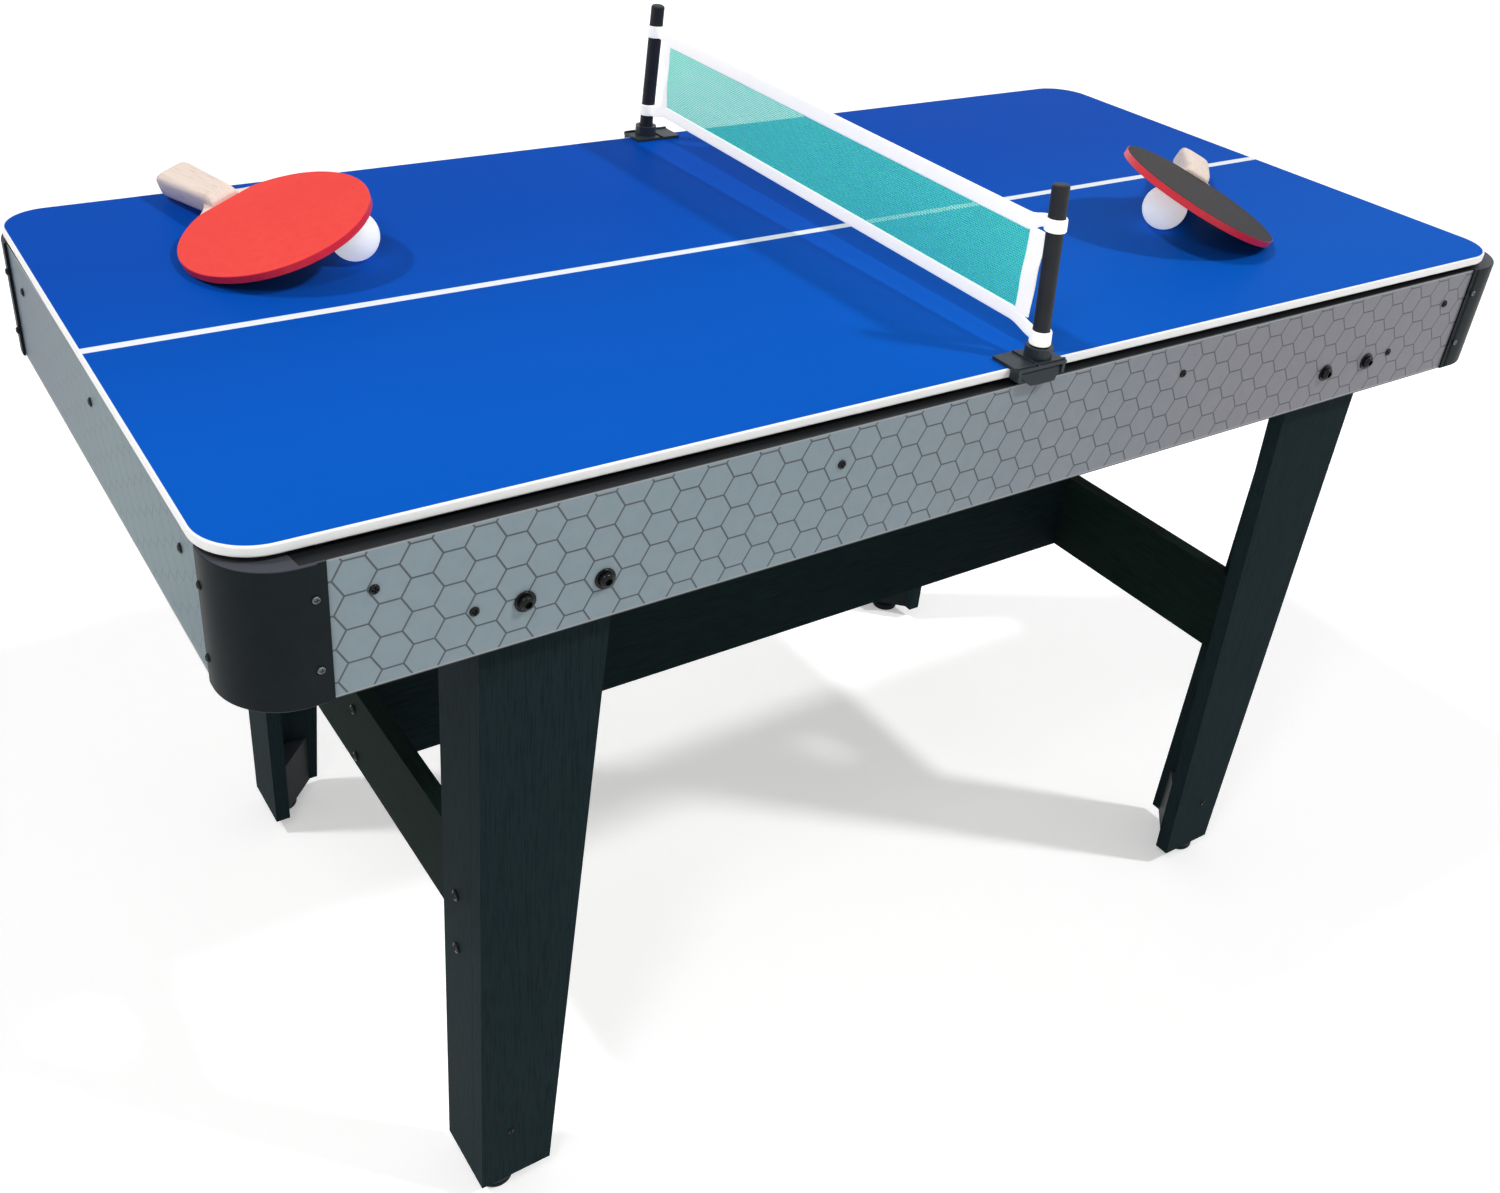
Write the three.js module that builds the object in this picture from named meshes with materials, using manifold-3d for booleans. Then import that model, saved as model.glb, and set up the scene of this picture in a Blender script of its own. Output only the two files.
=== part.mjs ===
// Multi game table: a cabinet with a hidden playfield on four bolted legs, and a loose
// table-tennis top with net, two bats and two balls. Millimetres, +Z up, origin on the
// floor under the middle of the cabinet, +X along its length. The front is at -Y.
import * as THREE from 'three';
import { mergeVertices } from 'three/addons/utils/BufferGeometryUtils.js';
import Module from 'manifold-3d';

const wasm = await Module();
wasm.setup();

// Clearances
const seatGap = 0.3; // between two pieces that sit against each other
const cutOverrun = 5; // how far a cutting shape runs past the piece it cuts

// Cabinet
const cabinetLength = 1220;
const cabinetWidth = 600;
const cabinetTop = 685; // height of the panels' top edge above the floor
const panelHeight = 100;
const panelThickness = 15;

// Moulded corner pieces
const cornerRadius = 45;
const cornerProud = 2.5; // how far the moulding stands out from the panels
const cornerWebThickness = 4; // the web on top that carries the loose top
const longFlangeReach = 58; // from the cabinet's end face to the flange's edge
const endFlangeReach = 48; // from the cabinet's side face to the flange's edge
const longFlangeLap = 16; // how much of the side panel the flange covers
const endFlangeLap = 10;

// Rails and playfield inside the cabinet
const railHeight = 25;
const railWidth = 18;
const playfieldThickness = 6;

// Legs
const legReach = 55; // how far the legs rise above the panels' bottom edge
const legBottom = 16; // height of the boards' bottom above the floor
const legInset = 160; // from the cabinet's end face to the leg's outer side
const legBoardThickness = 15;
const legTopWidth = 102.5;
const legFootWidth = 64;
const legDepth = 65;
const footBlockSide = 40;
const footBlockHeight = 60;

// Leg bolts
const legBoltInsets = [25, 83]; // from the leg's outer side
const legBoltDrop = 23; // below the leg's top
const boltShankRadius = 3;
const washerRadius = 7.6;
const washerThickness = 1.2;
const boltHeadRadius = 5.6;
const boltHeadHeight = 4;
const boltHeadRounding = 1.6;
const nutRadius = 5.5;
const nutThickness = 5;

// Levelling feet
const levellerInsetX = 20.5; // from the leg's outer side
const levellerInsetY = 20; // from the leg's outer face
const levellerDiscRadius = 16;
const levellerDiscHeight = 6;
const levellerChamfer = 1.5;
const levellerNeckRadius = 6;
const levellerNeckHeight = 3;
const levellerStemRadius = 3;
const levellerStemReach = 30; // into the foot block

// Cross panels and stretcher
const crossPanelBottom = 257;
const crossPanelHeight = 88;
const crossPanelThickness = 15;
const stretcherThickness = 15;

// Loose top
const topShorter = 13; // by how much the top is shorter than the cabinet
const topNarrower = 17.6;
const topThickness = 7;
const topCornerRadius = 40;
const topLift = 4; // between the cabinet's top edge and the underside of the top
const topShiftX = -9.5; // how the loose top lies on the cabinet
const topShiftY = -3.4;
const topTurn = THREE.MathUtils.degToRad(-0.49);
const edgeMouldingWidth = 2;
const restStripWidth = 20;
const restStripInsetX = 37; // middle of the strip, from the cabinet's end face
const restStripInsetY = 22; // end of the strip, from the cabinet's side face

// Net clamps, in a frame on the top's edge under the post: x along the edge, y outward
const netPlaceX = 17.3; // from the middle of the top
const clampLength = 48;
const clampShift = 7; // from the post to the middle of the clamp, along the edge
const clampOverhang = 10; // beyond the top's edge
const clampReach = 19; // inward from the top's edge
const clampPlateThickness = 2.5;
const clampRibWidth = 1.8;
const clampRibHeight = 1.2;
const crossRibPlace = 11; // middle of the rib across the plate, from the post
const edgeRibInset = 2.5; // middle of the rib along the plate, inward from its outer edge
const bossRadius = 10.5;
const bossHeight = 12; // above the top
const earThickness = 3;
const earSetback = 0.8; // between the ears and the top's edge
const earDrop = 7; // below the top's upper face

// Clamp jaws
const jawHalfLength = 20;
const jawTipHalfLength = 12; // at the lever's lower edge
const jawBarrelRadius = 3;
const jawPinRadius = 1.5;
const jawPivotOut = 5.5; // beyond the top's edge
const jawPivotDrop = 3.5; // below the top's upper face
const jawFingerThickness = 1.8;
const jawFingerReach = 18; // inward from the top's edge
const jawLeverOut = 12.5; // beyond the top's edge
const jawLeverThickness = 2.4;
const jawLeverClearance = 0.6; // above the cabinet's top edge

// Posts
const postRadius = 6.5;
const postTopHeight = 131.5; // above the top
const postLean = THREE.MathUtils.degToRad(5);
const postInset = 4; // from the top's edge
const postTopRounding = 1.5;

// Net
const netTopHeight = 106.5; // above the top
const netBottomHeight = 22;
const topTapeWidth = 12;
const bottomTapeWidth = 10;
const endTapeWidth = 11; // where the end tape is narrowest
const netEndInset = 9; // how far the net's end curves away from the post
const netThickness = 1.6;
const tapeLoopThickness = 1.5;
const tapeLoopBite = 0.5; // how far the flat tape runs into the loop's wall
const netStrandWidth = 1.6;
const netRows = 5;
const netColumns = 42;

// Bats
const bladeHalfLength = 80;
const bladeHalfWidth = 77;
const bladeThickness = 4;
const rubberThickness = 1;
const handleStart = 76; // from the blade's middle
const throatEnd = 97; // where the blade has narrowed to the handle
const throatWidth = 50; // at the handle's start
const handleEnd = 172;
const handleNeckWidth = 25;
const handleEndWidth = 33;
const handleThickness = 21;
const handleRounding = 4;

// Balls, and how each bat leans on its ball; places are from the middle of the top
const ballRadius = 20;
const leftBallX = -370.7;
const leftBallY = 85.3;
const leftDownhill = THREE.MathUtils.degToRad(179.16); // heading in which the blade slopes down
const leftRimToBall = 128.2; // from the line where the blade's plane meets the top to the ball
const leftBesideBall = -26.1; // the blade's middle, to the side of the ball
const leftHandleTurn = THREE.MathUtils.degToRad(-77.65); // from the downhill heading, in the blade
const rightBallX = 331.8;
const rightBallY = -117.9;
const rightDownhill = THREE.MathUtils.degToRad(-33.13);
const rightRimToBall = 95.9;
const rightBesideBall = -4.1;
const rightHandleTurn = THREE.MathUtils.degToRad(74.53);

// Facets
const roundSegments = 5; // steps in a round stretch of an outline
const smallSides = 16; // round a small cylinder
const boltSides = 12;
const ballSegments = 20;
const bladeSegments = 22;
const netEndSegments = 6;
const loopSegments = 8;

// Sizes that follow from the ones above
const halfLength = cabinetLength / 2;
const halfWidth = cabinetWidth / 2;
const panelBottom = cabinetTop - panelHeight;
const innerX = halfLength - panelThickness;
const innerY = halfWidth - panelThickness;
const innerCornerRadius = cornerRadius - cornerProud - panelThickness;
const longPanelEnd = halfLength - longFlangeReach + longFlangeLap;
const endPanelEnd = halfWidth - endFlangeReach + endFlangeLap;
const legHeight = panelBottom + legReach;
const legOuterX = halfLength - legInset;
const legOuterY = innerY - seatGap;
const legInnerY = legOuterY - legBoardThickness;
const legBoltHeight = legHeight - legBoltDrop;
const halfTopLength = halfLength - topShorter / 2;
const halfTopWidth = halfWidth - topNarrower / 2;
const batThickness = bladeThickness + 2 * (rubberThickness + seatGap);

const colours = {
  panel: new THREE.MeshStandardMaterial({ color: 0x868f94, roughness: 0.5, metalness: 0 }),
  blackPlastic: new THREE.MeshStandardMaterial({ color: 0x1b1d20, roughness: 0.5, metalness: 0 }),
  blackBoard: new THREE.MeshStandardMaterial({ color: 0x23282c, roughness: 0.6, metalness: 0 }),
  rawBoard: new THREE.MeshStandardMaterial({ color: 0xb08f63, roughness: 0.8, metalness: 0 }),
  playfield: new THREE.MeshStandardMaterial({ color: 0xe8e9e6, roughness: 0.35, metalness: 0 }),
  steel: new THREE.MeshStandardMaterial({ color: 0x2a2b2d, roughness: 0.4, metalness: 0.8 }),
  blueBoard: new THREE.MeshStandardMaterial({ color: 0x1a4fc0, roughness: 0.45, metalness: 0 }),
  whitePlastic: new THREE.MeshStandardMaterial({ color: 0xf2f2f0, roughness: 0.45, metalness: 0 }),
  foam: new THREE.MeshStandardMaterial({ color: 0x101112, roughness: 0.95, metalness: 0 }),
  net: new THREE.MeshStandardMaterial({ color: 0x2f9f94, roughness: 0.9, metalness: 0 }),
  wood: new THREE.MeshStandardMaterial({ color: 0xd9bf98, roughness: 0.6, metalness: 0 }),
  redRubber: new THREE.MeshStandardMaterial({ color: 0xe8463c, roughness: 0.6, metalness: 0 }),
  blackRubber: new THREE.MeshStandardMaterial({ color: 0x18191b, roughness: 0.6, metalness: 0 }),
  ball: new THREE.MeshStandardMaterial({ color: 0xf4f4f2, roughness: 0.4, metalness: 0 }),
};

const table = new THREE.Group();

function addPiece(name, geometry, material, parent = table) {
  const piece = new THREE.Mesh(geometry, material);
  piece.name = name;
  parent.add(piece);
  return piece;
}

// Shapes

function block([lowX, highX], [lowY, highY], [lowZ, highZ]) {
  const box = new THREE.BoxGeometry(highX - lowX, highY - lowY, highZ - lowZ);
  return box.translate((lowX + highX) / 2, (lowY + highY) / 2, (lowZ + highZ) / 2);
}

function outline(points) {
  const shape = new THREE.Shape();
  points.forEach(([x, y], index) => (index ? shape.lineTo(x, y) : shape.moveTo(x, y)));
  shape.closePath();
  return shape;
}

function roundedRectangle(halfX, halfY, radius) {
  const shape = new THREE.Shape();
  const middles = [
    [halfX - radius, halfY - radius],
    [radius - halfX, halfY - radius],
    [radius - halfX, radius - halfY],
    [halfX - radius, radius - halfY],
  ];
  middles.forEach(([x, y], quarter) => {
    const start = (quarter * Math.PI) / 2;
    shape.absarc(x, y, radius, start, start + Math.PI / 2, false);
  });
  shape.closePath();
  return shape;
}

function plate(shape, [low, high], curveSegments = roundSegments) {
  const options = { depth: high - low, bevelEnabled: false, curveSegments };
  return new THREE.ExtrudeGeometry(shape, options).translate(0, 0, low);
}

// A plate whose outline lies in the Y-Z plane and which runs along X.
function plateAlongX(shape, [low, high], curveSegments = roundSegments) {
  const geometry = plate(shape, [low, high], curveSegments);
  return geometry.applyMatrix4(new THREE.Matrix4().set(0, 0, 1, 0, 1, 0, 0, 0, 0, 1, 0, 0, 0, 0, 0, 1));
}

// A plate whose outline lies in the X-Z plane and which runs along Y.
function plateAlongY(shape, [low, high]) {
  const geometry = plate(shape, [-high, -low]);
  return geometry.rotateX(Math.PI / 2);
}

function rodAlongZ(radius, x, y, [low, high], sides = smallSides) {
  const rod = new THREE.CylinderGeometry(radius, radius, high - low, sides);
  return rod.rotateX(Math.PI / 2).translate(x, y, (low + high) / 2);
}

function rodAlongY(radius, x, z, [low, high], sides = smallSides) {
  const rod = new THREE.CylinderGeometry(radius, radius, high - low, sides);
  return rod.translate(x, (low + high) / 2, z);
}

function rodAlongX(radius, y, z, [low, high], sides = smallSides) {
  const rod = new THREE.CylinderGeometry(radius, radius, high - low, sides);
  return rod.rotateZ(Math.PI / 2).translate((low + high) / 2, y, z);
}

// A turned piece: the profile is [radius, height] from the axis back to the axis, along Z.
function turned(profile, sides) {
  const points = profile.map(([radius, height]) => new THREE.Vector2(radius, height));
  return new THREE.LatheGeometry(points, sides).rotateX(Math.PI / 2);
}

// Joining and cutting

function solidOf(geometry) {
  const bare = geometry.clone();
  bare.deleteAttribute('normal');
  bare.deleteAttribute('uv');
  const merged = mergeVertices(bare);
  const corners = merged.index.array;
  const kept = [];
  for (let i = 0; i < corners.length; i += 3) {
    const [a, b, c] = corners.slice(i, i + 3);
    if (a !== b && b !== c && c !== a) {
      kept.push(a, b, c);
    }
  }
  const vertProperties = new Float32Array(merged.attributes.position.array);
  return new wasm.Manifold(new wasm.Mesh({ numProp: 3, vertProperties, triVerts: new Uint32Array(kept) }));
}

function geometryOf(solid) {
  const { vertProperties, triVerts } = solid.getMesh();
  const geometry = new THREE.BufferGeometry();
  geometry.setAttribute('position', new THREE.BufferAttribute(vertProperties, 3));
  geometry.setIndex(new THREE.BufferAttribute(triVerts, 1));
  geometry.computeVertexNormals();
  return geometry;
}

function joined(...geometries) {
  return geometryOf(geometries.map(solidOf).reduce((whole, part) => whole.add(part)));
}

function cut(geometry, ...tools) {
  return geometryOf(tools.map(solidOf).reduce((whole, tool) => whole.subtract(tool), solidOf(geometry)));
}

function common(first, second) {
  return geometryOf(solidOf(first).intersect(solidOf(second)));
}

// The four corners of the table: each piece is made for the right-hand back corner
// and mirrored to the others.
const tableCorners = [
  { name: 'front_left', x: -1, y: -1 },
  { name: 'front_right', x: 1, y: -1 },
  { name: 'back_left', x: -1, y: 1 },
  { name: 'back_right', x: 1, y: 1 },
];

function addAtCorners(nameOf, geometry, material) {
  tableCorners.forEach((corner) => {
    addPiece(nameOf(corner.name), geometry, material).scale.set(corner.x, corner.y, 1);
  });
}

function addAtSides(names, geometry, material, scaleOf) {
  names.forEach((name, index) => {
    addPiece(name, geometry, material).scale.set(...scaleOf(index ? 1 : -1));
  });
}

const acrossX = (sign) => [sign, 1, 1];
const acrossY = (sign) => [1, sign, 1];

// Cabinet panels, with the leg bolts' holes through the two long ones
function boltHoles(range) {
  return [-1, 1].flatMap((sign) =>
    legBoltInsets.map((inset) =>
      rodAlongY(boltShankRadius + seatGap, sign * (legOuterX - inset), legBoltHeight, range, boltSides),
    ),
  );
}

const panelHeights = [panelBottom, cabinetTop];
const longPanel = cut(
  block([-longPanelEnd, longPanelEnd], [innerY, halfWidth], panelHeights),
  ...boltHoles([innerY - cutOverrun, halfWidth + cutOverrun]),
);
addAtSides(['front_panel', 'back_panel'], longPanel, colours.panel, acrossY);
const endPanel = block([innerX, halfLength], [-endPanelEnd, endPanelEnd], panelHeights);
addAtSides(['left_end_panel', 'right_end_panel'], endPanel, colours.panel, acrossX);

// Corner pieces: a rounded wall with a flange over each panel and a web on top
function cornerPiece() {
  const outside = plate(
    roundedRectangle(halfLength + cornerProud, halfWidth + cornerProud, cornerRadius),
    panelHeights,
  );
  const quadrant = block(
    [halfLength - longFlangeReach, halfLength + cutOverrun],
    [halfWidth - endFlangeReach, halfWidth + cutOverrun],
    [panelBottom - cutOverrun, cabinetTop + cutOverrun],
  );
  const hollow = plate(
    roundedRectangle(innerX, innerY, innerCornerRadius),
    [panelBottom - cutOverrun, cabinetTop - cornerWebThickness],
  );
  const cutHeights = [panelBottom - cutOverrun, cabinetTop + cutOverrun];
  const longSpace = block(
    [0, longPanelEnd + seatGap],
    [innerY - seatGap, halfWidth + seatGap],
    cutHeights,
  );
  const endSpace = block(
    [innerX - seatGap, halfLength + seatGap],
    [0, endPanelEnd + seatGap],
    cutHeights,
  );
  return cut(common(outside, quadrant), hollow, longSpace, endSpace);
}
addAtCorners((corner) => `corner_${corner}`, cornerPiece(), colours.blackPlastic);

// Inner rails stand on the legs and carry the playfield
const railHeights = [legHeight + seatGap, legHeight + seatGap + railHeight];
const longRailEnd = innerX - innerCornerRadius - seatGap;
const longRail = block(
  [-longRailEnd, longRailEnd],
  [innerY - seatGap - railWidth, innerY - seatGap],
  railHeights,
);
addAtSides(['front_rail', 'back_rail'], longRail, colours.rawBoard, acrossY);
const endRailEnd = innerY - innerCornerRadius - seatGap;
const endRail = block(
  [innerX - seatGap - railWidth, innerX - seatGap],
  [-endRailEnd, endRailEnd],
  railHeights,
);
addAtSides(['left_rail', 'right_rail'], endRail, colours.rawBoard, acrossX);

const playfieldBottom = railHeights[1] + seatGap;
const playfield = plate(
  roundedRectangle(innerX - seatGap, innerY - seatGap, innerCornerRadius - seatGap),
  [playfieldBottom, playfieldBottom + playfieldThickness],
);
addPiece('playfield_board', playfield, colours.playfield);

// Legs: a wide tapered board behind the cabinet's side panel and a narrow side board
const wideBoard = cut(
  plateAlongY(
    outline([
      [legOuterX - legFootWidth, legBottom],
      [legOuterX, legBottom],
      [legOuterX, legHeight],
      [legOuterX - legTopWidth, legHeight],
    ]),
    [legInnerY, legOuterY],
  ),
  ...boltHoles([legInnerY - cutOverrun, legOuterY + cutOverrun]),
);
addAtCorners((corner) => `leg_${corner}_wide_board`, wideBoard, colours.blackBoard);
const sideBoard = block(
  [legOuterX - legBoardThickness, legOuterX],
  [legOuterY - legDepth, legInnerY - seatGap],
  [legBottom, legHeight],
);
addAtCorners((corner) => `leg_${corner}_side_board`, sideBoard, colours.blackBoard);

// Foot blocks in the angle of the two boards, bored from below for the levelling foot
const blockCornerX = legOuterX - legBoardThickness - seatGap;
const blockCornerY = legInnerY - seatGap;
const levellerX = legOuterX - levellerInsetX;
const levellerY = legOuterY - levellerInsetY;
const footBlock = cut(
  plate(
    outline([
      [blockCornerX, blockCornerY],
      [blockCornerX - footBlockSide, blockCornerY],
      [blockCornerX, blockCornerY - footBlockSide],
    ]),
    [legBottom, legBottom + footBlockHeight],
  ),
  rodAlongZ(
    levellerStemRadius + seatGap,
    levellerX,
    levellerY,
    [legBottom - cutOverrun, legBottom + levellerStemReach + seatGap],
    boltSides,
  ),
);
addAtCorners((corner) => `foot_block_${corner}`, footBlock, colours.blackPlastic);

const levellerShoulder = levellerDiscHeight + levellerNeckHeight;
const leveller = turned(
  [
    [0, 0],
    [levellerDiscRadius - levellerChamfer, 0],
    [levellerDiscRadius, levellerChamfer],
    [levellerDiscRadius, levellerDiscHeight - levellerChamfer],
    [levellerDiscRadius - levellerChamfer, levellerDiscHeight],
    [levellerNeckRadius, levellerDiscHeight],
    [levellerNeckRadius, levellerShoulder],
    [levellerStemRadius, levellerShoulder],
    [levellerStemRadius, legBottom + levellerStemReach],
    [0, legBottom + levellerStemReach],
  ],
  smallSides,
).translate(levellerX, levellerY, 0);
addAtCorners((corner) => `leveller_${corner}`, leveller, colours.blackPlastic);

// Leg bolts with washer and nut, through the cabinet panel and the leg's wide board
function legBolt(inset) {
  const washerFace = halfWidth + seatGap;
  const headFace = washerFace + washerThickness;
  const nutFace = legInnerY - seatGap;
  const bolt = turned(
    [
      [0, nutFace - nutThickness],
      [nutRadius, nutFace - nutThickness],
      [nutRadius, nutFace],
      [boltShankRadius, nutFace],
      [boltShankRadius, washerFace],
      [washerRadius, washerFace],
      [washerRadius, headFace],
      [boltHeadRadius, headFace],
      [boltHeadRadius, headFace + boltHeadHeight - boltHeadRounding],
      [boltHeadRadius - boltHeadRounding, headFace + boltHeadHeight],
      [0, headFace + boltHeadHeight],
    ],
    boltSides,
  );
  return bolt.rotateX(-Math.PI / 2).translate(legOuterX - inset, 0, legBoltHeight);
}
legBoltInsets.forEach((inset, index) => {
  const place = index ? 'inner' : 'outer';
  addAtCorners((corner) => `leg_bolt_${corner}_${place}`, legBolt(inset), colours.steel);
});

// Cross panels between the legs of each end, and the stretcher between them
const crossHeights = [crossPanelBottom, crossPanelBottom + crossPanelHeight];
const crossOuterX = legOuterX - legBoardThickness - seatGap;
const crossInnerX = crossOuterX - crossPanelThickness;
const crossEnd = legInnerY - seatGap;
const crossPanel = block([crossInnerX, crossOuterX], [-crossEnd, crossEnd], crossHeights);
addAtSides(['cross_panel_left', 'cross_panel_right'], crossPanel, colours.blackBoard, acrossX);
const stretcherEnd = crossInnerX - seatGap;
const stretcher = block(
  [-stretcherEnd, stretcherEnd],
  [-stretcherThickness / 2, stretcherThickness / 2],
  crossHeights,
);
addPiece('stretcher', stretcher, colours.blackBoard);

// The loose top and what stands on it: z is zero at the underside of the top
const top = new THREE.Group();
top.position.set(topShiftX, topShiftY, cabinetTop + topLift);
top.rotation.z = topTurn;
table.add(top);

const boardInset = edgeMouldingWidth + seatGap;
const board = plate(
  roundedRectangle(halfTopLength - boardInset, halfTopWidth - boardInset, topCornerRadius - boardInset),
  [0, topThickness],
);
addPiece('tennis_board', board, colours.blueBoard, top);

const mouldingShape = roundedRectangle(halfTopLength, halfTopWidth, topCornerRadius);
mouldingShape.holes.push(
  roundedRectangle(
    halfTopLength - edgeMouldingWidth,
    halfTopWidth - edgeMouldingWidth,
    topCornerRadius - edgeMouldingWidth,
  ),
);
addPiece('edge_moulding', plate(mouldingShape, [0, topThickness]), colours.whitePlastic, top);

// Rest strips under the top, over the webs of the corner pieces
[-1, 1].forEach((sign) => {
  const middle = sign * (halfLength - restStripInsetX) - topShiftX;
  const reach = halfWidth - restStripInsetY;
  const strip = block(
    [middle - restStripWidth / 2, middle + restStripWidth / 2],
    [-reach - topShiftY, reach - topShiftY],
    [seatGap - topLift, -seatGap],
  );
  addPiece(sign < 0 ? 'rest_strip_left' : 'rest_strip_right', strip, colours.foam, top);
});

// Net clamps: a plate on the top's edge with two crossing ribs, a socket and two ears
const plateTop = seatGap + clampPlateThickness;
const socketDepth = bossHeight - plateTop;
const socketRadius = postRadius / Math.cos(postLean) + (socketDepth * Math.tan(postLean)) / 2 + seatGap;
const clampEnds = [clampShift - clampLength / 2, clampShift + clampLength / 2];
const jawSides = [clampShift - jawHalfLength, clampShift + jawHalfLength];
const pinEnds = [jawSides[0] - seatGap - earThickness, jawSides[1] + seatGap + earThickness];

function around(middle, width) {
  return [middle - width / 2, middle + width / 2];
}

function clampBody() {
  const plateSides = [-clampReach, clampOverhang];
  const ribHeights = [seatGap, plateTop + clampRibHeight];
  const base = block(clampEnds, plateSides, [seatGap, plateTop]);
  const boss = rodAlongZ(bossRadius, 0, -postInset, [seatGap, bossHeight]);
  const crossRib = block(around(crossRibPlace, clampRibWidth), plateSides, ribHeights);
  const edgeRib = block(clampEnds, around(clampOverhang - edgeRibInset, clampRibWidth), ribHeights);
  const earHeights = [-earDrop, plateTop];
  const ears = [
    block([pinEnds[0], pinEnds[0] + earThickness], [earSetback, clampOverhang], earHeights),
    block([pinEnds[1] - earThickness, pinEnds[1]], [earSetback, clampOverhang], earHeights),
  ];
  const pinHole = rodAlongX(
    jawPinRadius + seatGap,
    jawPivotOut,
    -jawPivotDrop,
    [pinEnds[0] - cutOverrun, pinEnds[1] + cutOverrun],
    boltSides,
  );
  return cut(
    joined(base, boss, crossRib, edgeRib, ...ears),
    rodAlongZ(socketRadius, 0, -postInset, [plateTop, bossHeight + cutOverrun]),
    pinHole,
  );
}

// Clamp jaws: a barrel on a pin between the ears, a finger under the top and a lever
const leverBottom = jawLeverClearance - topLift - topThickness;
function clampJaw() {
  const fingerTop = -topThickness - seatGap;
  const fingerBottom = fingerTop - jawFingerThickness;
  const barrel = rodAlongX(jawBarrelRadius, jawPivotOut, -jawPivotDrop, jawSides);
  const pin = rodAlongX(jawPinRadius, jawPivotOut, -jawPivotDrop, pinEnds, boltSides);
  const web = block(
    jawSides,
    [jawPivotOut - jawBarrelRadius, jawPivotOut + jawBarrelRadius],
    [fingerBottom, -jawPivotDrop],
  );
  const finger = block(jawSides, [-jawFingerReach, jawPivotOut], [fingerBottom, fingerTop]);
  const lever = plateAlongX(
    outline([
      [jawPivotOut, -jawPivotDrop],
      [jawLeverOut - jawLeverThickness, leverBottom],
      [jawLeverOut, leverBottom],
      [jawPivotOut + jawBarrelRadius, -jawPivotDrop],
      [jawPivotOut, jawBarrelRadius - jawPivotDrop],
    ]),
    jawSides,
  );
  const leverFront = plateAlongY(
    outline([
      [clampShift - jawTipHalfLength, leverBottom],
      [clampShift + jawTipHalfLength, leverBottom],
      [jawSides[1], -jawPivotDrop],
      [jawSides[1], jawBarrelRadius - jawPivotDrop],
      [jawSides[0], jawBarrelRadius - jawPivotDrop],
      [jawSides[0], -jawPivotDrop],
    ]),
    [0, jawLeverOut + cutOverrun],
  );
  return joined(barrel, pin, web, finger, common(lever, leverFront));
}

[
  { name: 'front', sign: -1 },
  { name: 'back', sign: 1 },
].forEach(({ name, sign }) => {
  [
    [`net_clamp_${name}`, clampBody()],
    [`clamp_jaw_${name}`, clampJaw()],
  ].forEach(([pieceName, geometry]) => {
    const piece = addPiece(pieceName, geometry, colours.blackPlastic, top);
    piece.position.set(netPlaceX, sign * halfTopWidth, topThickness);
    piece.scale.set(sign, sign, 1);
  });
});

// Posts lean towards the middle; heights here are above the top's upper face
const postMiddleHeight = (plateTop + bossHeight) / 2;
const postAxisY = (height) =>
  halfTopWidth - postInset - (height - postMiddleHeight) * Math.tan(postLean);
const postBottomHeight = plateTop + seatGap + postRadius * Math.sin(postLean);

function leaning(geometry, height) {
  return geometry.rotateX(postLean).translate(netPlaceX, postAxisY(height), topThickness + height);
}

const postLength = (postTopHeight - postBottomHeight) / Math.cos(postLean);
const post = leaning(
  turned(
    [
      [0, 0],
      [postRadius, 0],
      [postRadius, postLength - postTopRounding],
      [postRadius - postTopRounding, postLength],
      [0, postLength],
    ],
    smallSides,
  ),
  postBottomHeight,
);
['net_post_front', 'net_post_back'].forEach((name, index) => {
  addPiece(name, post, colours.blackPlastic, top).scale.y = index ? 1 : -1;
});

// Net: tapes all round, square gaps between the strands, and tape loops round the posts
const loopInnerRadius = postRadius + seatGap;
const loopOuterRadius = loopInnerRadius + tapeLoopThickness;
const tapeEndY = (height) =>
  postAxisY(height) - (loopInnerRadius + tapeLoopThickness - tapeLoopBite) / Math.cos(postLean);
const meshTop = netTopHeight - topTapeWidth;
const meshBottom = netBottomHeight + bottomTapeWidth;
const meshMiddle = (meshTop + meshBottom) / 2;
const meshEndY = tapeEndY(meshMiddle) - netEndInset - endTapeWidth;
const netSides = [-netThickness / 2, netThickness / 2];

function tapeFrame() {
  const half = [[tapeEndY(netBottomHeight), netBottomHeight]];
  for (let step = 0; step <= netEndSegments; step += 1) {
    const share = step / netEndSegments;
    const height = meshBottom + share * (meshTop - meshBottom);
    half.push([tapeEndY(height) - netEndInset * Math.sin(Math.PI * Math.sqrt(share)), height]);
  }
  half.push([tapeEndY(netTopHeight), netTopHeight]);
  const otherHalf = half.map(([y, height]) => [-y, height]).reverse();
  const window = block([-cutOverrun, cutOverrun], [-meshEndY, meshEndY], [meshBottom, meshTop]);
  return cut(plateAlongX(outline([...half, ...otherHalf]), netSides), window);
}

function strand([middleY, middleZ], [lengthY, lengthZ]) {
  return block(
    netSides,
    [middleY - lengthY / 2, middleY + lengthY / 2],
    [middleZ - lengthZ / 2, middleZ + lengthZ / 2],
  );
}

function netStrands() {
  const pitchY = (2 * meshEndY) / netColumns;
  const pitchZ = (meshTop - meshBottom) / netRows;
  const upright = Array.from({ length: netColumns - 1 }, (_, index) =>
    strand(
      [(index + 1) * pitchY - meshEndY, meshMiddle],
      [netStrandWidth, meshTop - meshBottom + netStrandWidth],
    ),
  );
  const level = Array.from({ length: netRows - 1 }, (_, index) =>
    strand(
      [0, meshBottom + (index + 1) * pitchZ],
      [2 * meshEndY + netStrandWidth, netStrandWidth],
    ),
  );
  return [...upright, ...level];
}

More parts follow.
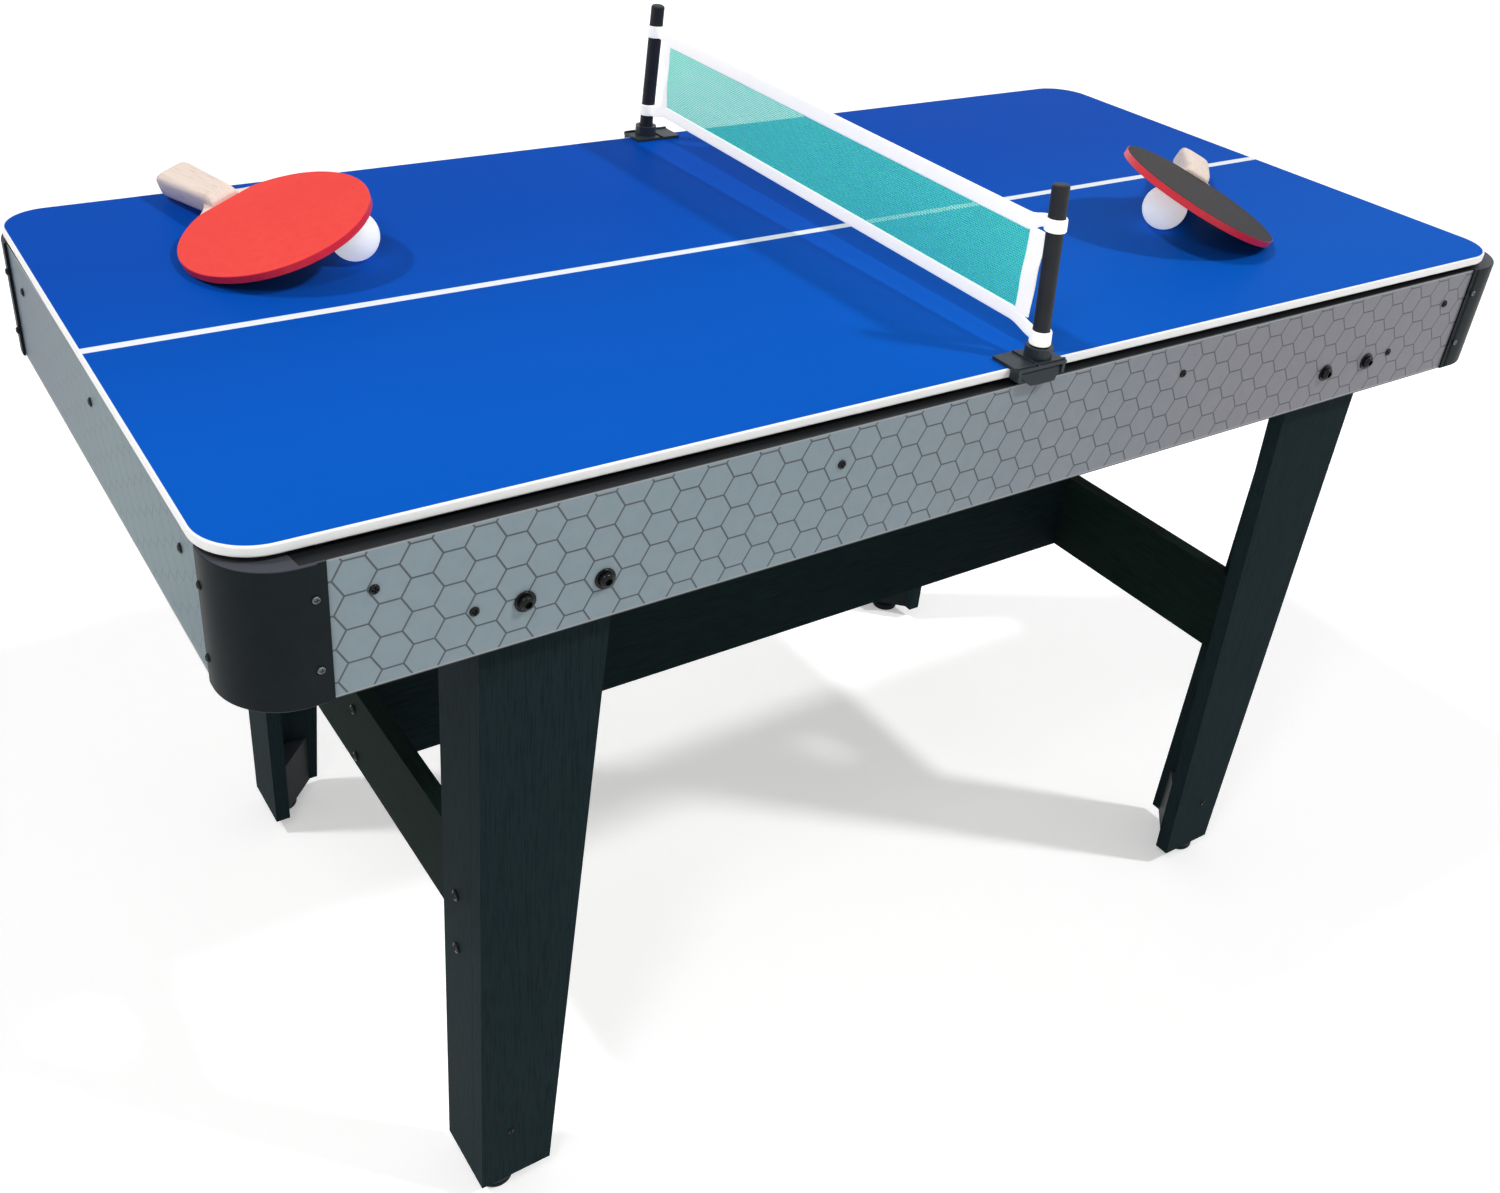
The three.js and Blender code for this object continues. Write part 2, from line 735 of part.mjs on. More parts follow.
function tapeLoop(height, width) {
  const ring = new THREE.Shape().absarc(0, 0, loopOuterRadius, 0, 2 * Math.PI, false);
  ring.holes.push(new THREE.Path().absarc(0, 0, loopInnerRadius, 0, 2 * Math.PI, true));
  return leaning(plate(ring, [-width / 2, width / 2], loopSegments), height);
}

const flatNet = joined(tapeFrame(), ...netStrands()).translate(netPlaceX, 0, topThickness);
const loops = [
  [netTopHeight - topTapeWidth / 2, topTapeWidth],
  [netBottomHeight + bottomTapeWidth / 2, bottomTapeWidth],
].map(([height, width]) => solidOf(tapeLoop(height, width)));
const mirroredLoops = loops.map((loop) => loop.mirror([0, 1, 0]));
const net = [...loops, ...mirroredLoops].reduce((whole, loop) => whole.add(loop), solidOf(flatNet));
addPiece('net', geometryOf(net), colours.net, top);

// Bats: local x towards the handle, local z square to the blade
function ellipsePlate(heights) {
  const shape = new THREE.Shape().absellipse(0, 0, bladeHalfLength, bladeHalfWidth, 0, 2 * Math.PI, false, 0);
  return plate(shape, heights, bladeSegments);
}

function handle() {
  const shape = outline([
    [handleStart + handleRounding, -handleNeckWidth / 2 + handleRounding],
    [handleEnd - handleRounding, -handleEndWidth / 2 + handleRounding],
    [handleEnd - handleRounding, handleEndWidth / 2 - handleRounding],
    [handleStart + handleRounding, handleNeckWidth / 2 - handleRounding],
  ]);
  const depth = handleThickness - 2 * handleRounding;
  const bevel = { bevelThickness: handleRounding, bevelSize: handleRounding, bevelSegments: 2 };
  return new THREE.ExtrudeGeometry(shape, { depth, ...bevel }).translate(0, 0, -depth / 2);
}

// The blade narrows to the handle in a curve beyond the rubbers' straight edge.
function throat() {
  const shape = new THREE.Shape();
  const bendX = handleStart + (throatEnd - handleStart) / 3;
  shape.moveTo(handleStart - cutOverrun, -throatWidth / 2);
  shape.lineTo(handleStart, -throatWidth / 2);
  shape.quadraticCurveTo(bendX, -handleNeckWidth / 2, throatEnd, -handleNeckWidth / 2);
  shape.lineTo(throatEnd, handleNeckWidth / 2);
  shape.quadraticCurveTo(bendX, handleNeckWidth / 2, handleStart, throatWidth / 2);
  shape.lineTo(handleStart - cutOverrun, throatWidth / 2);
  return plate(shape, bladeHeights);
}

const bladeHeights = [-bladeThickness / 2, bladeThickness / 2];
const handleSpace = block(
  [handleStart - seatGap, handleEnd],
  [-bladeHalfWidth, bladeHalfWidth],
  [-handleThickness, handleThickness],
);
const blade = joined(ellipsePlate(bladeHeights), throat(), handle());
const rubberFrom = bladeThickness / 2 + seatGap;
const upperRubber = cut(ellipsePlate([rubberFrom, rubberFrom + rubberThickness]), handleSpace);
const lowerRubber = cut(ellipsePlate([-rubberFrom - rubberThickness, -rubberFrom]), handleSpace);

// A ball stands on the top, and the blade's plane touches it and meets the top at a line
// rimToBall away, so the blade leans at twice the angle whose tangent is radius / distance.
const batPlaces = [
  {
    side: 'left',
    ballX: leftBallX,
    ballY: leftBallY,
    downhill: leftDownhill,
    rimToBall: leftRimToBall,
    besideBall: leftBesideBall,
    handleTurn: leftHandleTurn,
    redUp: true,
  },
  {
    side: 'right',
    ballX: rightBallX,
    ballY: rightBallY,
    downhill: rightDownhill,
    rimToBall: rightRimToBall,
    besideBall: rightBesideBall,
    handleTurn: rightHandleTurn,
    redUp: false,
  },
];

batPlaces.forEach(({ side, ballX, ballY, downhill, rimToBall, besideBall, handleTurn, redUp }) => {
  const seatRadius = ballRadius + seatGap;
  const lean = 2 * Math.atan(seatRadius / rimToBall);
  const heading = new THREE.Vector3(Math.cos(downhill), Math.sin(downhill), 0);
  const sideways = new THREE.Vector3(-heading.y, heading.x, 0);
  const normal = heading.clone().multiplyScalar(Math.sin(lean)).setZ(Math.cos(lean));
  const slope = heading.clone().multiplyScalar(Math.cos(lean)).setZ(-Math.sin(lean));
  const rimReach = Math.hypot(
    bladeHalfLength * Math.cos(handleTurn),
    bladeHalfWidth * Math.sin(handleTurn),
  );
  const handleAxis = slope
    .clone()
    .multiplyScalar(Math.cos(handleTurn))
    .addScaledVector(sideways, Math.sin(handleTurn));
  const middle = new THREE.Vector3(ballX, ballY, topThickness)
    .addScaledVector(heading, rimToBall)
    .addScaledVector(sideways, besideBall)
    .addScaledVector(slope, -rimReach - seatGap / Math.sin(lean))
    .addScaledVector(normal, batThickness / 2);
  const bat = new THREE.Group();
  const crossAxis = new THREE.Vector3().crossVectors(normal, handleAxis);
  bat.quaternion.setFromRotationMatrix(new THREE.Matrix4().makeBasis(handleAxis, crossAxis, normal));
  bat.position.copy(middle);
  top.add(bat);
  addPiece(`bat_${side}_blade`, blade, colours.wood, bat);
  addPiece(`bat_${side}_red_rubber`, redUp ? upperRubber : lowerRubber, colours.redRubber, bat);
  addPiece(`bat_${side}_black_rubber`, redUp ? lowerRubber : upperRubber, colours.blackRubber, bat);

  const ball = new THREE.SphereGeometry(ballRadius, ballSegments, ballSegments / 2);
  const ballPiece = addPiece(`ball_${side}`, ball, colours.ball, top);
  ballPiece.position.set(ballX, ballY, topThickness + seatRadius);
});

export default table;
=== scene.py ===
# %% [markdown]
# # Multi game table
# A four-foot game cabinet on bolted board legs carries a loose table-tennis top with a clip-on
# net, two bats and two balls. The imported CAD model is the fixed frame. Its boards, legs and
# clamps keep their own solids and get their finishes here. What needs a finer form, such as the
# edging, the moulded corners, the screws, the net, the bats and the balls, is modelled in mesh
# code in the same place and stands for its CAD node.

# %% Load the frame
import math

import bmesh
import bpy
from mathutils import Matrix, Vector


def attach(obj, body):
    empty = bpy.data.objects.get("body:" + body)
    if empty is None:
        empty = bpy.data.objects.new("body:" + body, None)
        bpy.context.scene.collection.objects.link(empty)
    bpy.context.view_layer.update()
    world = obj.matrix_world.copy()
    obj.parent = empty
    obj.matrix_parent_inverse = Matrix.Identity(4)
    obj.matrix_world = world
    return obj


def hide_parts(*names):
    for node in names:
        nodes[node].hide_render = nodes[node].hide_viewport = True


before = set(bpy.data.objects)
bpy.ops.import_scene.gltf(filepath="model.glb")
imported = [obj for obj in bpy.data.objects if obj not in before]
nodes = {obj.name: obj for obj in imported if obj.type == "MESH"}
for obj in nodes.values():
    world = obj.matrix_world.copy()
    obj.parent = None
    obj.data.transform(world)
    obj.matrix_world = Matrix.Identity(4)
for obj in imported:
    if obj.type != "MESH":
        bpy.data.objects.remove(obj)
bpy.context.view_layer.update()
scene = bpy.context.scene

# %% [markdown]
# ## Camera
# The photograph was taken from above the near left corner. Its straight edges give the camera's
# place, heading, tilt, roll and focal length. A small shift puts the optical axis where the
# edges' vanishing points say it is, as if the picture had been trimmed after it was taken.

# %% Camera
CAMERA_PLACE = Vector((-0.78613, -0.99134, 1.15414))
CAMERA_HEADING = 0.601728  # radians from +Y towards +X
CAMERA_TILT = -0.552607
CAMERA_ROLL = 0.0766140
LENS_MM = 35.836  # on a 36 mm wide sensor
LENS_SHIFT = (0.0472, -0.0430)


def put_in_scene(name, data, place=Matrix()):
    """An object with that data, at the place that the matrix gives."""
    thing = bpy.data.objects.new(name, data)
    thing.matrix_world = place
    scene.collection.objects.link(thing)
    return thing


def make_camera():
    """Put the camera in place and turn it by heading, tilt and roll."""
    level = math.cos(CAMERA_TILT)
    ahead = Vector(
        (level * math.sin(CAMERA_HEADING), level * math.cos(CAMERA_HEADING), math.sin(CAMERA_TILT))
    )
    right = ahead.cross(Vector((0, 0, 1))).normalized()
    up = right.cross(ahead)
    rolled_right = math.cos(CAMERA_ROLL) * right + math.sin(CAMERA_ROLL) * up
    rolled_up = math.cos(CAMERA_ROLL) * up - math.sin(CAMERA_ROLL) * right
    turn = Matrix((rolled_right, rolled_up, -ahead)).transposed().to_4x4()
    data = bpy.data.cameras.new("camera")
    data.lens = LENS_MM
    data.sensor_fit = "HORIZONTAL"
    data.shift_x, data.shift_y = LENS_SHIFT
    scene.camera = put_in_scene("camera", data, Matrix.Translation(CAMERA_PLACE) @ turn)


make_camera()
print("Camera at", tuple(CAMERA_PLACE))

# %% [markdown]
# ## Nodes and materials
# Every finish is a small node tree. One function adds a node together with its settings and
# links, so that a tree reads from its inputs to its shader. Colours are written as sRGB hex
# values, as a paint chart gives them, and turned to the linear values that shaders work with.
# The recipes after it, such as a mottled colour or a soft change from one colour to another,
# join a few nodes that several finishes share.

# %% Nodes and materials
MM = 0.001
NOISE = {"Detail": 3.0, "Roughness": 0.55}  # three finer layers, each 0.55 of the one before
BARE_FIBRE_MM = 2  # coarser than real wood fibres, so that they show
COLOUR = {"data_type": "RGBA"}


def linear(hex_colour):
    """Turn an sRGB hex colour into linear red, green, blue and alpha."""
    parts = [int(hex_colour[start : start + 2], 16) / 255 for start in (0, 2, 4)]
    return [p / 12.92 if p <= 0.04045 else ((p + 0.055) / 1.055) ** 2.4 for p in parts] + [1]


def in_use(sockets, key=None):
    """The socket with that number, or the first one in use (with that name)."""
    if isinstance(key, int):
        return sockets[key]
    return next(socket for socket in sockets if socket.enabled and key in (None, socket.name))


def add_node(tree, kind, inputs=None, **settings):
    """Add a node; an input takes a number, a hex colour, a socket or a node's first output."""
    node = tree.nodes.new("ShaderNode" + kind)
    for name, value in settings.items():
        setattr(node, name, value)
    for key, value in (inputs or {}).items():
        socket = in_use(node.inputs, key)
        if isinstance(value, bpy.types.Node):
            value = in_use(value.outputs)
        if isinstance(value, bpy.types.NodeSocket):
            tree.links.new(value, socket)
        else:
            socket.default_value = linear(value) if isinstance(value, str) else value
    return node


def start_finish(name):
    """A new material and its empty node tree."""
    material = bpy.data.materials.new(name)
    material.use_nodes = True
    material.node_tree.nodes.clear()
    return material, material.node_tree


def end_finish(material, look, colour, height=None, depth_mm=0.0, strength=0.0):
    """Close the material's tree with a Principled shader of that look, colour and bump."""
    tree = material.node_tree
    inputs = {**look, "Base Color": colour}
    if height:
        bump = {"Height": height, "Distance": depth_mm * MM, "Strength": strength}
        inputs["Normal"] = add_node(tree, "Bump", bump)
    shader = add_node(tree, "BsdfPrincipled", inputs)
    add_node(tree, "OutputMaterial", {"Surface": shader})
    return material


def satin(roughness, specular, ior=1.5):
    """The shader values of a surface that isn't metal."""
    return {"Roughness": roughness, "Specular IOR Level": specular, "IOR": ior}


def mottled(tree, place, size_mm, dark, light, detail=3.0):
    """A colour that wanders between two hex colours in patches of about that size."""
    size = {"Vector": place, "Scale": 1 / (size_mm * MM), "Detail": detail}
    patches = add_node(tree, "TexNoise", {**NOISE, **size})
    return add_node(tree, "Mix", {"Factor": patches, "A": dark, "B": light}, **COLOUR)


def soft_change(tree, value, limits, before, after):
    """One colour up to the first limit, another from the second, a soft change between."""
    step = {"Value": value, "From Min": limits[0], "From Max": limits[1]}
    share = add_node(tree, "MapRange", step, interpolation_type="SMOOTHSTEP")
    return add_node(tree, "Mix", {"Factor": share, "A": before, "B": after}, **COLOUR)


def bare_board(tree, place):
    """Fibreboard as it shows where no foil covers it."""
    return mottled(tree, place, BARE_FIBRE_MM, "8A6F4C", "A2865F")


def upward(tree):
    """How far a face looks up, from 0 for upright to 1 for level."""
    normal = add_node(tree, "NewGeometry").outputs["Normal"]
    return add_node(tree, "SeparateXYZ", {0: normal}).outputs["Z"]


def on_top(tree, above, below):
    """One colour on faces that look up, another on the rest."""
    is_top = add_node(tree, "Math", {0: upward(tree), 1: 0.5}, operation="GREATER_THAN")
    return add_node(tree, "Mix", {"Factor": is_top, "A": below, "B": above}, **COLOUR)


print("Node helpers ready")

# %% [markdown]
# ## Printed laminate of the cabinet
# The cabinet's panels are fibreboard with a printed paper laminate: grey-green with dark
# hexagon outlines, under a satin melamine coat. The print could be an image, but hexagons are a
# plain formula: two offset rectangular grids hold the middles of all hexagons, the nearer middle
# wins, and the distance to the hexagon's side gives the line. Only the outer faces are printed;
# the sawn top edge is painted black and the inside is bare board. The print's tone drifts a
# little from green to grey along a board, partly its own tone and partly painted shade, and the
# end panels get a darker copy of the print, which is painted shade. Along the cut top and lower
# edges a pale band is a painted highlight.

# %% Printed laminate
HEXAGON_SIDE_MM = 13.92
HEXAGON_LINE_MM = 1.25
LINE_FADE = (1.4, 0.6)  # of half a line: where its ink begins, and where it is full
HEXAGON_MIDDLE_MM = Vector((-535.4, 596.4, 0))  # one hexagon's middle on the front panel
HEXAGON_SLANT = Vector((math.sin(math.radians(60)), 0.5, 0))  # across a slanted side
PANEL_HEIGHTS_MM = (585, 685)
# Colours near the cut edge, and between which depths they fade: a pale band that is a painted
# highlight, then dark foil.
EDGE_HIGHLIGHT_AND_FOIL = (("9BA1A4", (1.8, 2.4)), ("2A2D30", (0.6, 1.0)))
PRINT_MOTTLE_MM = 9
INK_CLOUD_MM = 60
PAINTED_EDGE = "1B1D20"


def nearest_middle(tree, flat_place):
    """The offset from the middle of the hexagon that holds this place."""
    cell = Vector((3, math.sqrt(3), 0)) * HEXAGON_SIDE_MM * MM
    high = cell / 2 + Vector((0, 0, 1))
    offsets, lengths = [], []
    for shift in (Vector((0, 0, 0)), cell / 2):
        shifted = add_node(tree, "VectorMath", {0: flat_place, 1: shift}, operation="SUBTRACT")
        wrap = {0: shifted, 1: high, 2: -high}
        offsets.append(add_node(tree, "VectorMath", wrap, operation="WRAP"))
        lengths.append(add_node(tree, "VectorMath", {0: offsets[-1]}, operation="LENGTH"))
    nearer = add_node(tree, "Math", dict(enumerate(lengths)), operation="GREATER_THAN")
    choice = {"Factor": nearer, "A": offsets[0], "B": offsets[1]}
    offset = add_node(tree, "Mix", choice, **COLOUR)
    return add_node(tree, "VectorMath", {0: offset}, operation="ABSOLUTE")


def hexagon_laminate(name, axis, cool_pair, warm_pair, line_pair, drift_mm):
    """Printed laminate; axis is the panel's long direction, along which the tone drifts, partly as
    painted shade.
    """
    material, tree = start_finish(name)
    place = add_node(tree, "TexCoord").outputs["Object"]
    parts = add_node(tree, "SeparateXYZ", {0: place}).outputs
    flat_place = add_node(tree, "CombineXYZ", {"X": parts[axis], "Y": parts["Z"]})
    shift = {0: flat_place, 1: HEXAGON_MIDDLE_MM * MM}
    hexagon = nearest_middle(tree, add_node(tree, "VectorMath", shift, operation="SUBTRACT"))
    slanted = add_node(tree, "VectorMath", {0: hexagon, 1: HEXAGON_SLANT}, operation="DOT_PRODUCT")
    upright = add_node(tree, "SeparateXYZ", {0: hexagon}).outputs["Y"]
    reach = add_node(tree, "Math", {0: upright, 1: slanted}, operation="MAXIMUM")
    to_side = HEXAGON_SIDE_MM * math.sqrt(3) / 2
    line = [(to_side - share * HEXAGON_LINE_MM / 2) * MM for share in LINE_FADE]

    size = {"Vector": place, "Scale": 1 / (PRINT_MOTTLE_MM * MM), "Detail": 4}
    mottle = add_node(tree, "TexNoise", {**NOISE, **size})
    cool, warm = (
        add_node(tree, "Mix", {"Factor": mottle, "A": dark, "B": light}, **COLOUR)
        for dark, light in (cool_pair, warm_pair)
    )
    # The drift along the board is partly the print's own tone and partly painted shade.
    ground = soft_change(tree, parts[axis], [limit * MM for limit in drift_mm], cool, warm)
    ink = mottled(tree, place, INK_CLOUD_MM, *line_pair)
    printed = soft_change(tree, reach, line, ground, ink)

    low, high = (height * MM for height in PANEL_HEIGHTS_MM)
    above = add_node(tree, "Math", {0: parts["Z"], 1: (low + high) / 2}, operation="SUBTRACT")
    from_middle = add_node(tree, "Math", {0: above}, operation="ABSOLUTE")
    edge = {0: (high - low) / 2, 1: from_middle}
    from_edge = add_node(tree, "Math", edge, operation="SUBTRACT")
    # A pale band near the top and lower edges is a painted highlight; the dark foil at the very
    # edge is real.
    for edge_tone, depths in EDGE_HIGHLIGHT_AND_FOIL:
        depths = [depth * MM for depth in depths]
        printed = soft_change(tree, from_edge, depths, edge_tone, printed)

    normal = add_node(tree, "NewGeometry").outputs["Normal"]
    level = {0: normal, 1: Vector((1, 1, 0))}
    sideways = add_node(tree, "VectorMath", level, operation="MULTIPLY")
    outward = add_node(tree, "VectorMath", {0: sideways, 1: place}, operation="DOT_PRODUCT")
    is_outer = add_node(tree, "Math", {0: outward, 1: 0.1}, operation="GREATER_THAN")
    faces = {"Factor": is_outer, "A": bare_board(tree, place), "B": printed}
    colour = on_top(tree, PAINTED_EDGE, add_node(tree, "Mix", faces, **COLOUR))
    return end_finish(material, satin(0.42, 0.2), colour, mottle, 0.05, 0.25)


long_laminate = hexagon_laminate(
    "printed_melamine_laminate_long", "X",
    ("82929A", "8D9CA3"), ("7F7E85", "8A8990"), ("4A5056", "5A6065"), (-235.4, 314.6),
)
# The end panels get a darker copy of the print: painted shade.
end_laminate = hexagon_laminate(
    "printed_melamine_laminate_end_shaded", "Y",
    ("5A727A", "627B82"), ("4F606F", "576877"), ("4A5C66", "52636C"), (-75.4, 264.6),
)
print("Hexagon cell", 3 * HEXAGON_SIDE_MM, "mm long")

# %% [markdown]
# ## Black melamine boards
# Legs, cross panels and stretcher are chipboard with a black melamine foil. The foil is
# embossed with a shallow wood grain that runs along each board, which breaks the reflection
# into fine streaks. Stretching a noise along the board gives that grain. The cross panels and
# the stretcher are a little greener than the legs, and darker, which is painted shade under
# the top.

# %% Black melamine
GRAIN_WIDTH_MM = 0.9
GRAIN_STRETCH = 28
FOIL_PATCH_MM = 90
PORE_STEP = (0.38, 0.52)  # noise below the first is a pore, above the second it is ground
VEIL_FREE = 0.008  # a very low specular level; the white room would lay a pale veil over a board


def black_melamine(name, axis, dark, light, pore):
    """Embossed black foil with its grain along the axis."""
    material, tree = start_finish(name)
    place = add_node(tree, "TexCoord").outputs["Object"]
    stretch = Vector((1, 1, 1))
    stretch["XYZ".index(axis)] = 1 / GRAIN_STRETCH
    stretched = add_node(tree, "VectorMath", {0: place, 1: stretch}, operation="MULTIPLY")
    size = {"Vector": stretched, "Scale": 1 / (GRAIN_WIDTH_MM * MM), "Detail": 4}
    pores = add_node(tree, "TexNoise", {**NOISE, **size})
    ground = mottled(tree, place, FOIL_PATCH_MM, dark, light)
    colour = soft_change(tree, pores, PORE_STEP, pore, ground)
    return end_finish(material, satin(0.5, VEIL_FREE), colour, pores, 0.12, 0.5)


upright_melamine = black_melamine(
    "black_melamine_upright_grain", "Z", "1C292C", "212E31", "182428"
)
# Cross panels and stretcher: darker copies of the foil, painted shade under the top.
cross_melamine = black_melamine("black_melamine_cross_grain", "Y", "13221F", "192824", "111D1A")
long_melamine = black_melamine("black_melamine_long_grain", "X", "152123", "1B292B", "121D1F")
print("Pores", GRAIN_WIDTH_MM, "mm wide")

# %% [markdown]
# ## Plastics, steel, bare board and foam
# These surfaces are plain at arm's length and uneven close by. One recipe serves them all: two
# close colours in grit-sized specks, gathered in larger patches, and a bump of the same grit.
# Each finish gets the grit, depth and gloss of its own making. The grits are drawn somewhat
# coarser than the real ones, so that they show.

# %% Plastics, steel, board and foam
TEXTURE_GRIT_MM = 0.7
FIBRE_MM = 1.5
FOAM_CELL_MM = 0.8
FOIL_CLOUD_MM = 3
EXTRUSION_CLOUD_MM = 4
SPECKS_PER_PATCH = 25  # a patch is that many specks wide
# Faces that look up get a paler colour: partly dust, partly painted light, with a painted highlight
# on rounded edges.
DUST_AND_LIGHT_STEP = (0.25, 0.9)  # how far a face looks up where dust begins, and where it is full


def speckled(name, look, dark, light, grit_mm, depth_mm, dust_and_light=None):
    """Close colours in specks, with a bump of that depth; a paler colour may lie on faces that look
    up, for dust and painted light.
    """
    material, tree = start_finish(name)
    place = add_node(tree, "TexCoord").outputs["Object"]
    specks, patches = (
        add_node(tree, "TexNoise", {**NOISE, "Vector": place, "Scale": 1 / (size * MM)})
        for size in (grit_mm, SPECKS_PER_PATCH * grit_mm)
    )
    blend = add_node(tree, "Math", {0: patches, 1: specks}, operation="MULTIPLY")
    doubled = add_node(tree, "Math", {0: blend, 1: 2.0}, operation="MULTIPLY")
    colour = add_node(tree, "Mix", {"Factor": doubled, "A": dark, "B": light}, **COLOUR)
    if dust_and_light:
        # Paler upward faces: dust and painted light.
        colour = soft_change(tree, upward(tree), DUST_AND_LIGHT_STEP, colour, dust_and_light)
    return end_finish(material, look, colour, specks, depth_mm, 0.4)


# ABS moulded in a spark-eroded tool: near black, with a weak broad sheen. Its level webs are paler,
# partly from dust and partly from painted light, and its rounded top edges carry a painted
# highlight.
moulded_abs = speckled(
    "moulded_abs_black", satin(0.42, 0.05, 1.53), "151B1E", "1D2427", TEXTURE_GRIT_MM, 0.03,
    dust_and_light="484B52",
)
# ABS moulded in a polished tool: slate grey, its edges catch a thin line of light.
clamp_abs = speckled(
    "moulded_abs_slate", satin(0.38, 0.2, 1.53), "262D32", "30383D", TEXTURE_GRIT_MM, 0.03
)
# Extruded plastic tube: soft black, with one long dull highlight.
post_tube = speckled(
    "extruded_black_tube", satin(0.5, 0.12, 1.53), "282A2D", "323437", TEXTURE_GRIT_MM, 0.02
)
# Zinc plating on steel screws: a grey metal glint on a dark flange.
zinc_plated_steel = speckled(
    "zinc_plated_steel", {"Roughness": 0.35, "Metallic": 1.0}, "55585B", "6E7174",
    TEXTURE_GRIT_MM, 0.01,
)
# Blackened and oiled steel: the darkest spots, each with a tight highlight.
blackened_steel = speckled(
    "blackened_steel", satin(0.22, 0.2), "06080A", "0B0E10", TEXTURE_GRIT_MM, 0.01
)
# Sawn fibreboard: warm brown and fully matt, with short fibres.
bare_fibreboard = speckled(
    "sawn_fibreboard", satin(0.85, 0.2), "856843", "AA8C62", FIBRE_MM, 0.1
)
# Closed-cell foam strip: matt black with open pores.
closed_cell_foam = speckled(
    "closed_cell_foam", satin(0.95, 0.1, 1.4), "0C0D0E", "1B1C1E", FOAM_CELL_MM, 0.2
)
# White melamine foil of the playfield: clean, with a soft gloss.
white_melamine = speckled(
    "white_melamine", satin(0.4, 0.3), "D6D7D3", "E4E5E1", FOIL_CLOUD_MM, 0.02
)
# Extruded white PVC: the brightest line of the table, smooth and a little glossy.
white_pvc = speckled(
    "extruded_white_pvc", satin(0.35, 0.4, 1.53), "FAFAF9", "FDFDFC", EXTRUSION_CLOUD_MM, 0.01
)
print("Plain finishes ready")

# %% [markdown]
# ## Blue laminate of the top
# The playing surface is a satin blue laminate with a white centre line printed along its
# length. The line follows the top, which lies a little askew on the cabinet, so the material
# first turns its coordinates into the top's own frame. The blue is painted a little deeper
# towards the back edge, which is painted shade. A faint cloudiness in colour and gloss stands
# for handling marks on the foil.

# %% Blue laminate
TOP_PLACE_MM = Vector((-9.5, -3.4, 689))  # the underside of the loose top
TOP_TURN = math.radians(-0.49)
CENTRE_LINE_MM = 8.6
LINE_EDGE_MM = 0.15  # half the width over which the line's edge fades
# Across the top, painted shade deepens the blue between these.
PAINTED_SHADE_DRIFT_MM = (-250, 190)  # across the top, the blue gets deeper between these
HANDLING_CLOUD_MM = 220
HANDLING_GLOSS = {"To Min": 0.42, "To Max": 0.5}  # the roughness wanders with the handling
LINE_WHITE = "EDF2F6"
FOIL_TEXTURE_MM = 1.2


def blue_laminate():
    """Satin blue with a white centre line; bare board on the underside."""
    material, tree = start_finish("blue_satin_laminate")
    place = add_node(tree, "TexCoord").outputs["Object"]
    turn = {"Vector": place, "Location": TOP_PLACE_MM * MM, "Rotation": (0, 0, TOP_TURN)}
    own_frame = add_node(tree, "Mapping", turn, vector_type="TEXTURE")
    across = add_node(tree, "SeparateXYZ", {0: own_frame}).outputs["Y"]
    from_line = add_node(tree, "Math", {0: across}, operation="ABSOLUTE")
    line = [(CENTRE_LINE_MM / 2 + fade) * MM for fade in (-LINE_EDGE_MM, LINE_EDGE_MM)]
    size = {"Vector": place, "Scale": 1 / (HANDLING_CLOUD_MM * MM), "Detail": 2}
    cloud = add_node(tree, "TexNoise", {**NOISE, **size})
    bright, deep = (
        add_node(tree, "Mix", {"Factor": cloud, "A": dark, "B": light}, **COLOUR)
        for dark, light in (("0758BF", "0B5CC5"), ("0349AF", "064DB5"))
    )
    # Painted shade: the blue is deeper towards the back edge.
    base_tone = soft_change(tree, across, [limit * MM for limit in PAINTED_SHADE_DRIFT_MM], bright, deep)
    printed = soft_change(tree, from_line, line, LINE_WHITE, base_tone)
    colour = on_top(tree, printed, bare_board(tree, place))
    gloss = add_node(tree, "MapRange", {"Value": cloud, **HANDLING_GLOSS})
    grit = {"Vector": place, "Scale": 1 / (FOIL_TEXTURE_MM * MM)}
    texture = add_node(tree, "TexNoise", {**NOISE, **grit})
    return end_finish(material, satin(gloss, VEIL_FREE), colour, texture, 0.02, 0.2)


blue_top = blue_laminate()
print("Centre line", CENTRE_LINE_MM, "mm wide")

# %% [markdown]
# ## Finishes of the CAD nodes that stay
# Boards, panels, rails and the playfield are plain flat-sided solids, so their CAD meshes are
# right as they are. A narrow bevel takes the edges' sharpness, as real board edges are eased,
# and catches a thin highlight.

# %% Finish the CAD boards
BOARD_BEVEL_MM = 0.6
ENDS = (("front", -1), ("back", 1))  # with the sign of y there
SIDES = (("left", -1), ("right", 1))  # with the sign of x there
CORNERS = [
    (f"{end}_{side}", sign_x, sign_y) for end, sign_y in ENDS for side, sign_x in SIDES
]


def finish_node(name, material, bevel_mm=BOARD_BEVEL_MM):
    """Give a CAD node its material and eased edges."""
    node = nodes[name]
    node.data.materials.clear()
    node.data.materials.append(material)
    bevel = node.modifiers.new("eased edges", "BEVEL")
    bevel.width = bevel_mm * MM
    bevel.segments = 2
    bevel.limit_method = "ANGLE"


